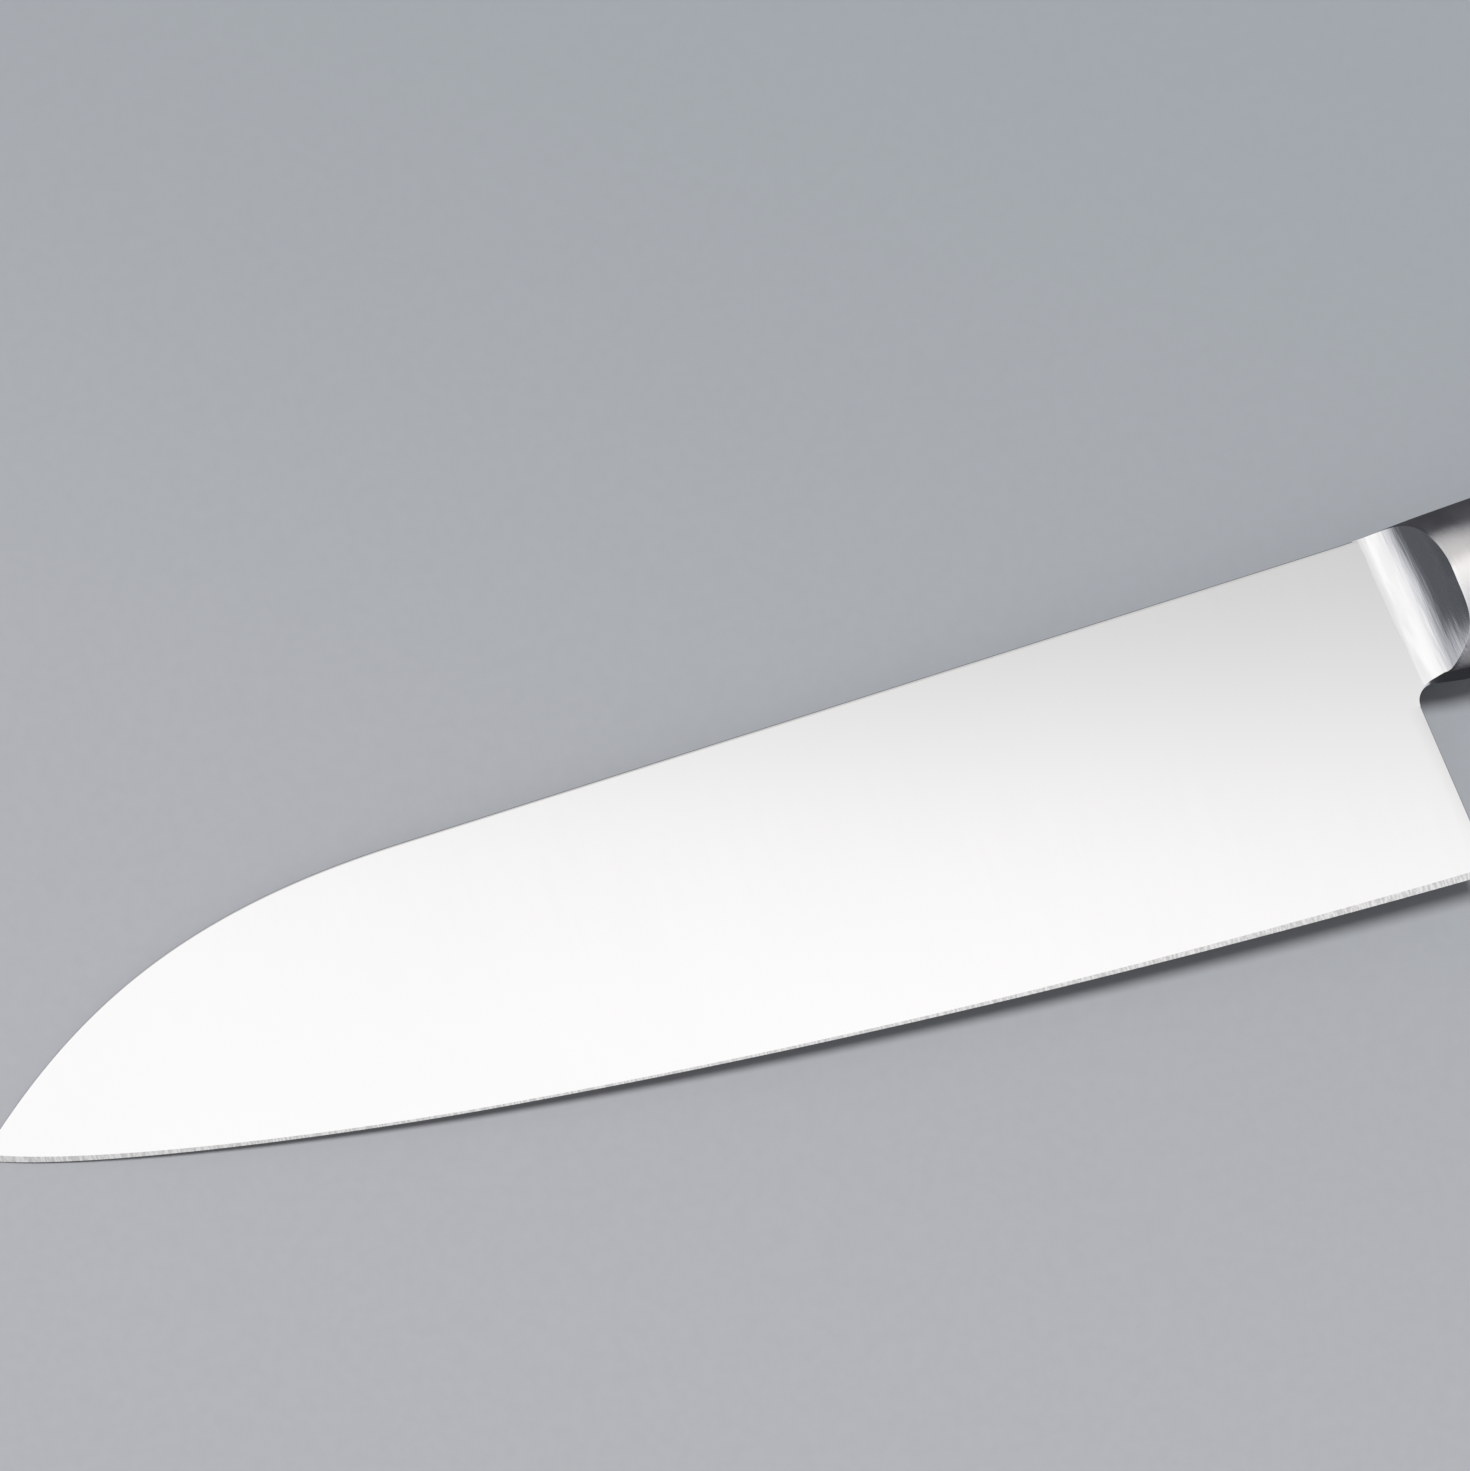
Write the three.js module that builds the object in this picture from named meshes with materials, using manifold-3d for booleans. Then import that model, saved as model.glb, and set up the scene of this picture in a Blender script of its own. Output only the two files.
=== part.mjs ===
// Santoku kitchen knife with a full tang, welded steel bolsters and riveted wooden scales, in millimetres.
// It lies on its right side: +X from tip to butt, +Y towards the spine, +Z out of the blade's left face.
import * as THREE from "three";
import { mergeVertices } from "three/addons/utils/BufferGeometryUtils.js";
import Module from "manifold-3d";

// Outline of the blade: lengths run back from the tip, depths run down from the straight spine.
// A reach is how far a curve follows its end's direction, and angles are in degrees.
const BLADE_LENGTH = 178.36;
const HEEL_DEPTH = 41.45;
const HEEL_LEAN = 6;
const HEEL_EDGE_ANGLE = 1.6;
const TIP_DEPTH = 20.56;
const TIP_SPINE_ANGLE = 40.5;
const TIP_SPINE_REACH = 19.2;
const SPINE_CURVE_LENGTH = 58;
const SPINE_CURVE_REACH = 28;
const TIP_EDGE_ANGLE = 24.6;
const TIP_EDGE_REACH = 10.8;
const BELLY_LENGTH = 60;
const BELLY_DEPTH = 32.87;
const BELLY_ANGLE = 7.1;
const BELLY_REACH = 19.9;
const CHOIL_RADIUS = 1.9;
const CHOIL_DEPTH = 18.4;
const CHOIL_RUN = 3.2;

// Thickness of the blank, of the flat-ground blade behind its edge, and the edge bevel on each side.
const STOCK_THICKNESS = 2.2;
const HEEL_THICKNESS = 0.4;
const TIP_THICKNESS = 0.4;
const BEVEL_ANGLE = 13;
const EDGE_FLAT = 0.04;
const GRIND_RUN_OUT = 2.3;

// Bolster: an oval collar whose hollow front sweeps down to the face of the blade. Behind the hollow its
// sides are narrow and lean, relieved below for the finger, and its rear flares to the full oval.
const BOLSTER_LEAD = 5.86;
const BOLSTER_LENGTH = 25;
const BOLSTER_FRONT_WIDTH = 9.9;
const BOLSTER_WIDTH = 14.6;
const BOLSTER_FLAT = 6.7;
const BOLSTER_SIDE_LEAN = 3.5;
const BOLSTER_RISE = 0.52;
const BOLSTER_RISE_LENGTH = 9.5;
const BOLSTER_DEPTH = 19;
const RELIEF_LENGTH = 12;
const RELIEF_POWER = 1.6;
const RELIEF_SHARE = 0.85;
const RELIEF_ROUNDING_SHARE = 0.95;
const RELIEF_UNDERCUT = 1.25;
const SWEEP_LEAD = 1.8;
const SWEEP_RISE = 13.1;
const SWEEP_SPINE_RUN = 11.55;
const SWEEP_BELLY_RUN = 11.15;
const SWEEP_EASE = 2.5;
const SWEEP_LEAN = 6.9;

// The hollow turns straight at an angle of its quarter turn, which grows with the square of the height over
// a depth, so it is straightest low down. Near the spine it is steeper by a share.
const SWEEP_BEND_ANGLE = 19.8;
const SWEEP_ANGLE_GROWTH = 0.254;
const SWEEP_BEND_DEPTH = 16.5;
const SWEEP_LAST_ANGLE = 85;
const SWEEP_STEEPER_SHARE = 0.22;
const SWEEP_STEEPER_DEPTH = 7;

// Handle: stations run back from the rear face of the bolster.
const SCALE_LENGTH = 108;
const CREST_STATION = 8;
const CREST_RISE = 1;
const BACK_STATION = 57;
const BACK_DEPTH = 1;
const BUTT_TOP_DEPTH = 7.4;
const WAIST_STATION = 15;
const WAIST_DEPTH = 19.1;
const PALM_STATION = 50;
const PALM_DEPTH = 23;
const NECK_STATION = 76;
const NECK_DEPTH = 22.8;
const HOOK_DEPTH = 28.6;
const LAND_START = 28;
const LAND_END = 68;
const LAND_HEIGHT = 7.6;
const PALM_WIDTH = 18.4;
const BUTT_WIDTH = 16.6;
const BUTT_ROUND = 13;
const BUTT_SQUARENESS = 2.5;

// Two-piece cutler's rivets, ground flush with the scales.
const RIVET_STATIONS = { front: 16, middle: 50, rear: 84 };
const RIVET_HEAD_DIAMETER = 7;
const RIVET_SEAT = 5.2;
const SLEEVE_DIAMETER = 4.8;
const SLEEVE_BORE = 3.3;
const PIN_DIAMETER = 3.1;
const RIVET_END_GAP = 0.5;

// Clearances: between welded or bedded faces, and round the rivets in their holes.
const BED_GAP = 0.1;
const RIVET_GAP = 0.1;

// Steps of the faceted curves, and the margin by which a cutting body overshoots.
const CURVE_STEPS = 20;
const CHOIL_STEPS = 10;
const SHOULDER_STEPS = 7;
const BOLSTER_STEPS = 10;
const SCALE_STEPS = 18;
const BUTT_STEPS = 6;
const BUTT_LAST_ANGLE = 80;
const SWEEP_STEPS = 14;
const SWEEP_RINGS = 15;
const RIVET_STEPS = 28;
const OVERSHOOT = 5;

const STEEL = { color: 0xdcdbd9, roughness: 0.22, metalness: 1 };
const GROUND_STEEL = { color: 0xc9c8c6, roughness: 0.3, metalness: 1 };
const RIVET_STEEL = { color: 0xd3d1cd, roughness: 0.25, metalness: 1 };
const PAKKAWOOD = { color: 0x3b2720, roughness: 0.42, metalness: 0 };

const wasm = await Module();
wasm.setup();

const radians = THREE.MathUtils.degToRad;
const smoothstep = THREE.MathUtils.smoothstep;

const bolsterFront = BLADE_LENGTH - BOLSTER_LEAD;
const bolsterRear = bolsterFront + BOLSTER_LENGTH;
const scaleFront = bolsterRear + BED_GAP;
const buttEnd = bolsterRear + SCALE_LENGTH;
const buttStart = buttEnd - BUTT_ROUND;
const grindEnd = BLADE_LENGTH + GRIND_RUN_OUT;
const halfStock = STOCK_THICKNESS / 2;
const ceiling = PALM_WIDTH / 2 + SWEEP_RISE + OVERSHOOT;

// A closed body as a solid that can be cut, from a geometry whose shared corners are merged.
function solid(geometry) {
  const bare = geometry.clone();
  bare.deleteAttribute("normal");
  bare.deleteAttribute("uv");
  const merged = mergeVertices(bare);
  const corners = Array.from(merged.index.array);
  const triangles = [];
  for (let i = 0; i < corners.length; i += 3) {
    const triangle = corners.slice(i, i + 3);
    if (new Set(triangle).size === 3) triangles.push(...triangle);
  }
  const vertProperties = merged.attributes.position.array;
  const triVerts = Uint32Array.from(triangles);
  return new wasm.Manifold(new wasm.Mesh({ numProp: 3, vertProperties, triVerts }));
}

function geometryOf(body) {
  const cut = body.getMesh();
  const geometry = new THREE.BufferGeometry();
  geometry.setAttribute("position", new THREE.BufferAttribute(cut.vertProperties, 3));
  geometry.setIndex(new THREE.BufferAttribute(cut.triVerts, 1));
  geometry.computeVertexNormals();
  return geometry;
}

// A closed body through convex rings that turn anticlockwise, seen from the end they run towards.
function loft(rings) {
  const count = rings[0].length;
  const last = (rings.length - 1) * count;
  const index = [];
  for (let start = 0; start < last; start += count) {
    for (let i = 0; i < count; i += 1) {
      const a = start + i;
      const b = start + ((i + 1) % count);
      index.push(a, b, b + count, a, b + count, a + count);
    }
  }
  for (let i = 1; i < count - 1; i += 1) {
    index.push(0, i + 1, i, last, last + i, last + i + 1);
  }
  const geometry = new THREE.BufferGeometry().setFromPoints(rings.flat());
  geometry.setIndex(index);
  return geometry;
}

// The same body on the other side of the blade's middle plane.
function mirrored(geometry) {
  const copy = geometry.clone().scale(1, 1, -1);
  copy.setIndex(Array.from(copy.index.array).reverse());
  return copy;
}

// A block from one X to another, with a flat or sloping floor and roof.
function block(fromX, toX, floor, roof) {
  const fromY = -HEEL_DEPTH - OVERSHOOT;
  const toY = BOLSTER_RISE + CREST_RISE + OVERSHOOT;
  const corners = [[fromX, fromY], [toX, fromY], [toX, toY], [fromX, toY]];
  const ring = (height) => corners.map(([x, y]) => new THREE.Vector3(x, y, height(x, y)));
  return loft([ring(floor), ring(roof)]);
}

// A curve between two points that leaves and arrives at given angles.
function fairCurve(start, startAngle, startReach, end, endAngle, endReach) {
  const leave = new THREE.Vector2(Math.cos(radians(startAngle)), Math.sin(radians(startAngle)));
  const arrive = new THREE.Vector2(Math.cos(radians(endAngle)), Math.sin(radians(endAngle)));
  const first = start.clone().addScaledVector(leave, startReach);
  const second = end.clone().addScaledVector(arrive, -endReach);
  return new THREE.CubicBezierCurve(start, first, second, end);
}

// A height that runs smoothly through stations along the handle, and is level before the first.
function profile(points) {
  const [stations, heights] = [points.map((point) => point[0]), points.map((point) => point[1])];
  const curve = new THREE.CubicInterpolant(stations, heights, 1);
  curve.settings = { endingStart: THREE.ZeroSlopeEnding, endingEnd: THREE.ZeroCurvatureEnding };
  return (x) => curve.evaluate(x)[0];
}

// Equal steps from one value to another, without the first value.
function stepsBetween(from, to, count) {
  return Array.from({ length: count }, (_, i) => from + ((to - from) * (i + 1)) / count);
}

// Spine, edge and heel of the blade.
const tip = new THREE.Vector2(0, -TIP_DEPTH);
const spineStart = new THREE.Vector2(SPINE_CURVE_LENGTH, 0);
const bellyEnd = new THREE.Vector2(BELLY_LENGTH, -BELLY_DEPTH);
const heel = new THREE.Vector2(BLADE_LENGTH, -HEEL_DEPTH);
const flatReach = bellyEnd.distanceTo(heel) / 3;
const spineCurve = fairCurve(tip, TIP_SPINE_ANGLE, TIP_SPINE_REACH, spineStart, 0, SPINE_CURVE_REACH);
const bellyCurve = fairCurve(tip, -TIP_EDGE_ANGLE, TIP_EDGE_REACH, bellyEnd, -BELLY_ANGLE, BELLY_REACH);
const flatCurve = fairCurve(bellyEnd, -BELLY_ANGLE, flatReach, heel, -HEEL_EDGE_ANGLE, flatReach);
const spineLine = spineCurve.getPoints(CURVE_STEPS);
const edgeLine = [...bellyCurve.getPoints(CURVE_STEPS), ...flatCurve.getPoints(CURVE_STEPS).slice(1)];

// The choil rounds the inner corner between the leaning heel and the underside of the bolster.
const choilY = -CHOIL_DEPTH - CHOIL_RADIUS;
const heelLean = radians(HEEL_LEAN);
const heelRetreat = (choilY + HEEL_DEPTH) * Math.sin(heelLean);
const choilX = BLADE_LENGTH + (CHOIL_RADIUS - heelRetreat) / Math.cos(heelLean);
const choilArc = new THREE.EllipseCurve(
  choilX, choilY, CHOIL_RADIUS, CHOIL_RADIUS, Math.PI / 2, Math.PI + heelLean, false,
);

// Top and bottom of the handle, and its section at each station.
const handleTop = profile([
  [bolsterFront, 0],
  [bolsterFront + BOLSTER_RISE_LENGTH, BOLSTER_RISE],
  [bolsterRear + CREST_STATION, CREST_RISE],
  [bolsterRear + BACK_STATION, -BACK_DEPTH],
  [buttEnd, -BUTT_TOP_DEPTH],
]);
const handleBottom = profile([
  [choilX, -CHOIL_DEPTH],
  [choilX + CHOIL_RUN, -BOLSTER_DEPTH],
  [bolsterRear + WAIST_STATION, -WAIST_DEPTH],
  [bolsterRear + PALM_STATION, -PALM_DEPTH],
  [bolsterRear + NECK_STATION, -NECK_DEPTH],
  [buttEnd, -HOOK_DEPTH],
]);

// One cross-section: its middle height, half height, half width, half height of its flat side and how far
// its lower shoulder is relieved.
function section(x) {
  const flare = smoothstep(x, bolsterFront + RELIEF_LENGTH, bolsterRear);
  const swell = smoothstep(x, bolsterRear, bolsterRear + LAND_START);
  const fall = smoothstep(x, bolsterRear + LAND_END, buttEnd);
  const along = THREE.MathUtils.clamp((x - buttStart) / BUTT_ROUND, 0, 1);
  const closing = (1 - along ** BUTT_SQUARENESS) ** (1 / BUTT_SQUARENESS);
  const collar = BOLSTER_FRONT_WIDTH + (BOLSTER_WIDTH - BOLSTER_FRONT_WIDTH) * flare;
  const width = collar + (PALM_WIDTH - BOLSTER_WIDTH) * swell - (PALM_WIDTH - BUTT_WIDTH) * fall;
  const flat = BOLSTER_FLAT + (LAND_HEIGHT - BOLSTER_FLAT) * (swell - fall);
  return {
    middle: (handleTop(x) + handleBottom(x)) / 2,
    half: ((handleTop(x) - handleBottom(x)) / 2) * closing,
    side: halfStock + (width / 2 - halfStock) * closing,
    flat: (flat / 2) * closing,
    relief: 1 - flare,
  };
}

const buttStations = stepsBetween(0, radians(BUTT_LAST_ANGLE), BUTT_STEPS)
  .map((angle) => buttStart + BUTT_ROUND * Math.sin(angle) ** (2 / BUTT_SQUARENESS));
const handleStations = [
  bolsterFront,
  ...stepsBetween(bolsterFront, bolsterRear, BOLSTER_STEPS),
  ...stepsBetween(bolsterRear, buttStart, SCALE_STEPS),
  ...buttStations,
];

// The oval ring of the handle at one station: flat sides, elliptic shoulders and the edges of the tang.
function handleRing(x) {
  const { middle, half, side, flat, relief } = section(x);
  const lean = Math.tan(radians(BOLSTER_SIDE_LEAN)) * relief;
  const lowerHalf = half - RELIEF_UNDERCUT * relief;
  const lowerFlat = flat * (1 - 2 * RELIEF_ROUNDING_SHARE * relief);
  const upper = [];
  const lower = [];
  for (let i = 0; i <= SHOULDER_STEPS; i += 1) {
    const angle = (Math.PI / 2) * (i / SHOULDER_STEPS);
    const oval = Math.sin(angle);
    const relieved = THREE.MathUtils.lerp(oval, 1 - Math.cos(angle) ** RELIEF_POWER, RELIEF_SHARE * relief);
    const above = flat + (half - flat) * Math.cos(angle);
    const below = -lowerFlat - (lowerHalf - lowerFlat) * Math.cos(angle);
    upper.push([above, halfStock + (side + lean * above - halfStock) * oval]);
    lower.push([below, halfStock + (side + lean * below - halfStock) * relieved]);
  }
  const left = [...upper, ...lower.reverse()];
  const right = left.map(([y, z]) => [y, -z]).reverse();
  return [...left, ...right].map(([y, z]) => new THREE.Vector3(x, middle + y, z));
}

const handleBody = solid(loft(handleStations.map(handleRing)));

// The flat-ground face of the blade: a plane through the spine, the heel and the tip.
const facePlane = new THREE.Plane().setFromCoplanarPoints(
  new THREE.Vector3(bolsterFront, 0, halfStock),
  new THREE.Vector3(heel.x, heel.y, HEEL_THICKNESS / 2),
  new THREE.Vector3(tip.x, tip.y, TIP_THICKNESS / 2),
);
const { normal: faceNormal, constant: faceOffset } = facePlane;
const face = (x, y) => -(faceNormal.x * x + faceNormal.y * y + faceOffset) / faceNormal.z;

// The edge bevel's cutter follows the edge, one sloping face down to half the edge's flat.
function bevelCutter() {
  const slope = Math.tan(radians(BEVEL_ANGLE));
  const last = edgeLine.length - 1;
  const before = edgeLine[0].clone().multiplyScalar(2).sub(edgeLine[1]);
  const after = edgeLine[last].clone().multiplyScalar(2).sub(edgeLine[last - 1]);
  const path = [before, ...edgeLine, after];
  const rings = path.map((point, i) => {
    const along = path[Math.min(i + 1, path.length - 1)].clone().sub(path[Math.max(i - 1, 0)]).normalize();
    const inward = new THREE.Vector2(-along.y, along.x);
    const inner = point.clone().addScaledVector(inward, OVERSHOOT);
    const outer = point.clone().addScaledVector(inward, -OVERSHOOT);
    return [
      new THREE.Vector3(outer.x, outer.y, EDGE_FLAT / 2 - OVERSHOOT * slope),
      new THREE.Vector3(inner.x, inner.y, EDGE_FLAT / 2 + OVERSHOOT * slope),
      new THREE.Vector3(inner.x, inner.y, ceiling),
      new THREE.Vector3(outer.x, outer.y, ceiling),
    ];
  });
  return loft(rings);
}

// The sweep's cutter: a hollow that leaves the blade's face gently along a leaning line, curves up and then
// runs on straight.
function sweepCutter() {
  const lean = Math.tan(radians(SWEEP_LEAN));
  const taper = (SWEEP_SPINE_RUN - SWEEP_BELLY_RUN) / BOLSTER_DEPTH;
  const [lowest, highest] = [-BOLSTER_DEPTH - OVERSHOOT, CREST_RISE + OVERSHOOT];
  const rings = [lowest, ...stepsBetween(lowest, highest, SWEEP_RINGS)].map((y) => {
    const run = SWEEP_SPINE_RUN + taper * y;
    const startX = bolsterFront + SWEEP_LEAD - lean * y;
    const startZ = face(startX, y);
    const steeper = SWEEP_STEEPER_SHARE * smoothstep(y, -SWEEP_STEEPER_DEPTH, CREST_RISE);
    const rise = SWEEP_RISE * (1 + steeper);
    const above = Math.max(y + SWEEP_BEND_DEPTH, 0);
    const bendDegrees = Math.min(SWEEP_BEND_ANGLE + SWEEP_ANGLE_GROWTH * above ** 2, SWEEP_LAST_ANGLE);
    const bendAngle = radians(bendDegrees);
    const bend = Math.sin(bendAngle) ** (2 / SWEEP_EASE);
    const slope = (SWEEP_EASE * bend ** (SWEEP_EASE - 1)) / (2 * Math.cos(bendAngle));
    const hollow = [0, ...stepsBetween(0, bendAngle, SWEEP_STEPS)].map((angle) => {
      const along = Math.sin(angle) ** (2 / SWEEP_EASE);
      return [startX + run * along, startZ + rise * (1 - Math.cos(angle))];
    });
    const [ahead, behind] = [startX - OVERSHOOT, startX + run];
    const end = [behind, startZ + rise * (1 - Math.cos(bendAngle) + slope * (1 - bend))];
    const ring = [[ahead, startZ], ...hollow, end, [behind, ceiling], [ahead, ceiling]];
    return ring.reverse().map(([x, z]) => new THREE.Vector3(x, y, z));
  });
  return loft(rings);
}

// A turned body about the axis of one rivet, from radii and heights.
function turned(points, x, y) {
  const outline = points.map(([radius, z]) => new THREE.Vector2(radius, z));
  const geometry = new THREE.LatheGeometry(outline, RIVET_STEPS);
  return solid(geometry.rotateX(Math.PI / 2).translate(x, y, 0));
}

const rivets = Object.entries(RIVET_STATIONS).map(([name, station]) => {
  const x = bolsterRear + station;
  return { name, x, y: section(x).middle };
});
const seatZ = halfStock + RIVET_SEAT;
const holeRadius = SLEEVE_DIAMETER / 2 + RIVET_GAP;
const boreRadius = SLEEVE_BORE / 2;

function rivetHole({ x, y }) {
  const headRadius = RIVET_HEAD_DIAMETER / 2 + RIVET_GAP;
  const steps = [
    [0, -ceiling], [holeRadius, -ceiling], [holeRadius, seatZ],
    [headRadius, seatZ], [headRadius, ceiling], [0, ceiling],
  ];
  return turned(steps, x, y);
}

function rivetPin({ x, y }) {
  const [shank, head] = [PIN_DIAMETER / 2, RIVET_HEAD_DIAMETER / 2];
  const under = seatZ + RIVET_GAP;
  const end = -seatZ + RIVET_END_GAP;
  const steps = [[0, end], [shank, end], [shank, under], [head, under], [head, ceiling], [0, ceiling]];
  return geometryOf(turned(steps, x, y).intersect(handleBody));
}

function rivetSleeve({ x, y }) {
  const [tube, head] = [SLEEVE_DIAMETER / 2, RIVET_HEAD_DIAMETER / 2];
  const under = -seatZ - RIVET_GAP;
  const mouth = seatZ - RIVET_END_GAP;
  const steps = [
    [0, -ceiling], [head, -ceiling], [head, under], [tube, under], [tube, mouth], [boreRadius, mouth],
    [boreRadius, under], [0, under],
  ];
  return geometryOf(turned(steps, x, y).intersect(handleBody));
}

// The blank: blade and full tang in one outline, ground on both sides, with bevels and rivet holes.
function bladeGeometry() {
  const top = handleStations.map((x) => new THREE.Vector2(x, section(x).middle + section(x).half));
  const bottom = handleStations
    .filter((x) => x > choilX)
    .map((x) => new THREE.Vector2(x, section(x).middle - section(x).half))
    .reverse();
  const choil = choilArc.getPoints(CHOIL_STEPS);
  const outline = [...spineLine, ...top, ...bottom, ...choil, ...edgeLine.slice(1).reverse()];
  const sawn = { depth: STOCK_THICKNESS, bevelEnabled: false };
  const blank = new THREE.ExtrudeGeometry(new THREE.Shape(outline), sawn);
  const grind = block(-OVERSHOOT, grindEnd, face, () => ceiling);
  const cutters = [grind, bevelCutter()].flatMap((cutter) => [cutter, mirrored(cutter)]).map(solid);
  let body = solid(blank.translate(0, 0, -halfStock));
  for (const cutter of [...cutters, ...rivets.map(rivetHole)]) {
    body = body.subtract(cutter);
  }
  return geometryOf(body);
}

// One cheek: the front of the handle's body above the blade, hollowed by the sweep.
function bolsterGeometry() {
  const room = solid(block(bolsterFront - OVERSHOOT, bolsterRear, () => 0, () => ceiling));
  const bed = (x, y) => face(x, y) + BED_GAP;
  const bladeBed = solid(block(bolsterFront - OVERSHOOT, grindEnd, () => -OVERSHOOT, bed));
  const tangBed = solid(
    block(grindEnd - BED_GAP, bolsterRear + OVERSHOOT, () => -OVERSHOOT, () => halfStock + BED_GAP),
  );
  const cheek = handleBody.intersect(room).subtract(bladeBed).subtract(tangBed);
  return geometryOf(cheek.subtract(solid(sweepCutter())));
}

// One scale: the rest of the handle's body on one side of the tang, bored for the rivets.
function scaleGeometry() {
  let body = handleBody.intersect(
    solid(block(scaleFront, buttEnd + OVERSHOOT, () => halfStock + BED_GAP, () => ceiling)),
  );
  for (const rivet of rivets) {
    body = body.subtract(rivetHole(rivet));
  }
  return geometryOf(body);
}

function piece(name, geometry, finish) {
  const mesh = new THREE.Mesh(geometry, new THREE.MeshStandardMaterial(finish));
  mesh.name = name;
  return mesh;
}

// The left piece of a pair as made, and the right piece as its mirror image.
function pair(name, geometry, finish) {
  const [left, right] = [piece(`${name}_left`, geometry, finish), piece(`${name}_right`, geometry, finish)];
  right.scale.z = -1;
  return [left, right];
}

const knife = new THREE.Group();
knife.add(piece("blade", bladeGeometry(), STEEL));
knife.add(...pair("bolster", bolsterGeometry(), GROUND_STEEL));
knife.add(...pair("scale", scaleGeometry(), PAKKAWOOD));
for (const rivet of rivets) {
  knife.add(piece(`rivet_${rivet.name}_pin`, rivetPin(rivet), RIVET_STEEL));
  knife.add(piece(`rivet_${rivet.name}_sleeve`, rivetSleeve(rivet), RIVET_STEEL));
}

// The origin is under the middle of the knife, on the surface that its right side lies on.
const bounds = new THREE.Box3().setFromObject(knife);
const centre = bounds.getCenter(new THREE.Vector3());
knife.position.set(-centre.x, -centre.y, -bounds.min.z);

export default knife;
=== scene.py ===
"""Looks of a santoku knife: satin steel blade, hollow-swept steel bolsters, laminated scales and rivets.

The knife is drawn in millimetres on its own lines: x runs back from the tip, y up from the straight spine
and z out of the blade's left face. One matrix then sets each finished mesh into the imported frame, in metres.
"""

import logging
import math
from collections.abc import Callable
from dataclasses import dataclass
from enum import Enum
from typing import Any

import bmesh
import bpy
from bmesh.types import BMEdge, BMesh, BMLayerItem, BMVert
from bpy.types import Material, Node, NodeSocket, NodeTree, Object
from mathutils import Matrix, Vector


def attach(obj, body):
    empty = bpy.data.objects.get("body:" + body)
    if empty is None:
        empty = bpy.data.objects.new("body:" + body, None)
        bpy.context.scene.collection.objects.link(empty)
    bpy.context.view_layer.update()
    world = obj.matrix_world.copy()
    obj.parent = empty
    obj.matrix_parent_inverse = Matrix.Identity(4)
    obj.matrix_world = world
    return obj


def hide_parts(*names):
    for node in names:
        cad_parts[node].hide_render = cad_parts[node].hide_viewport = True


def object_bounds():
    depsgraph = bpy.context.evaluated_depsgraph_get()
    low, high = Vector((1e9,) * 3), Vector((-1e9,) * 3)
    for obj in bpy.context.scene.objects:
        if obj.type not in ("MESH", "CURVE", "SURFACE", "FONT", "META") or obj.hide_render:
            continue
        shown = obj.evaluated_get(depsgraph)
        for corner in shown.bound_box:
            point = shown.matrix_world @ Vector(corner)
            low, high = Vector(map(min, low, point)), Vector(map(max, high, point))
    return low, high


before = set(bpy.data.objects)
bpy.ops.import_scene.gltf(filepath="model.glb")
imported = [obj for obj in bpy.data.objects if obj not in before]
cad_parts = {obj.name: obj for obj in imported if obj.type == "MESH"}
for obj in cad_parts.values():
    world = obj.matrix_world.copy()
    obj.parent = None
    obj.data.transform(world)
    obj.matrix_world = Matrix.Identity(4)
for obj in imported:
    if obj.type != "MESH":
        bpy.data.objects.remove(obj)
CAD_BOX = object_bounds()

Pair = tuple[float, float]
Triple = tuple[float, float, float]
Corners = dict[tuple[int, int], BMVert]
Mark = Callable[[int, int], float]
Outline = list[Pair]

MM = 0.001
BODY = "root"
LOG = logging.getLogger("knife")
# A bed stands this far off the tang, and a welded cheek is let this far into the blank, in millimetres.
HIDDEN_GAP = 0.03
# Corners closer than this, in millimetres, are one.
MERGE = 1e-4
# Halvings that find a point on a curve far more finely than a mesh needs.
HALVINGS = 40
# Facets of an edge that is rounded off.
EASE_STEPS = 2

# Settings of the nodes that the finishes and the light use most.
SMOOTH = {"kind": "ShaderNodeMapRange", "interpolation_type": "SMOOTHSTEP"}
BLEND = {"kind": "ShaderNodeMix", "data_type": "RGBA"}
DOT = {"kind": "ShaderNodeVectorMath", "operation": "DOT_PRODUCT"}
TIMES = {"kind": "ShaderNodeMath", "operation": "MULTIPLY"}


class Side(Enum):
    """The side of the blade that a piece lies on, as the sign of its z."""

    LEFT = 1
    RIGHT = -1


class RowZone(Enum):
    """The part of the blade's section that a row of its mesh follows."""

    SPINE = "eased spine"
    FACE = "flat-ground face"
    UNDER = "underside of the bolster"
    EDGE = "cutting edge"


class RivetPlace(Enum):
    """The three rivets, each by its distance behind the bolster in millimetres."""

    FRONT = 16.0
    MIDDLE = 50.0
    REAR = 84.0


class RivetHalf(Enum):
    """The two halves of a rivet, each with the side that its head is on."""

    PIN = Side.LEFT
    SLEEVE = Side.RIGHT


def linear(hex_colour: str) -> tuple[float, float, float, float]:
    """Turns an sRGB hex colour into a linear one, by the formula of that standard.

    Args:
        hex_colour: Six hex digits, with or without a leading hash.

    Returns:
        Linear red, green and blue, and an alpha of 1.
    """
    digits = hex_colour.lstrip("#")
    channels = [int(digits[i : i + 2], 16) / 255 for i in (0, 2, 4)]
    red, green, blue = [c / 12.92 if c <= 0.04045 else ((c + 0.055) / 1.055) ** 2.4 for c in channels]
    return red, green, blue, 1.0


def unit(value: float) -> float:
    """Holds a value between 0 and 1."""
    return min(max(value, 0.0), 1.0)


def smoothstep(value: float, low: float, high: float) -> float:
    """Rises smoothly from 0 at low to 1 at high."""
    share = unit((value - low) / (high - low))
    return share * share * (3 - 2 * share)


def spread(start: float, end: float, count: int) -> list[float]:
    """Equal steps from start to end, without the start."""
    return [start + (end - start) * (i + 1) / count for i in range(count)]


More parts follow.
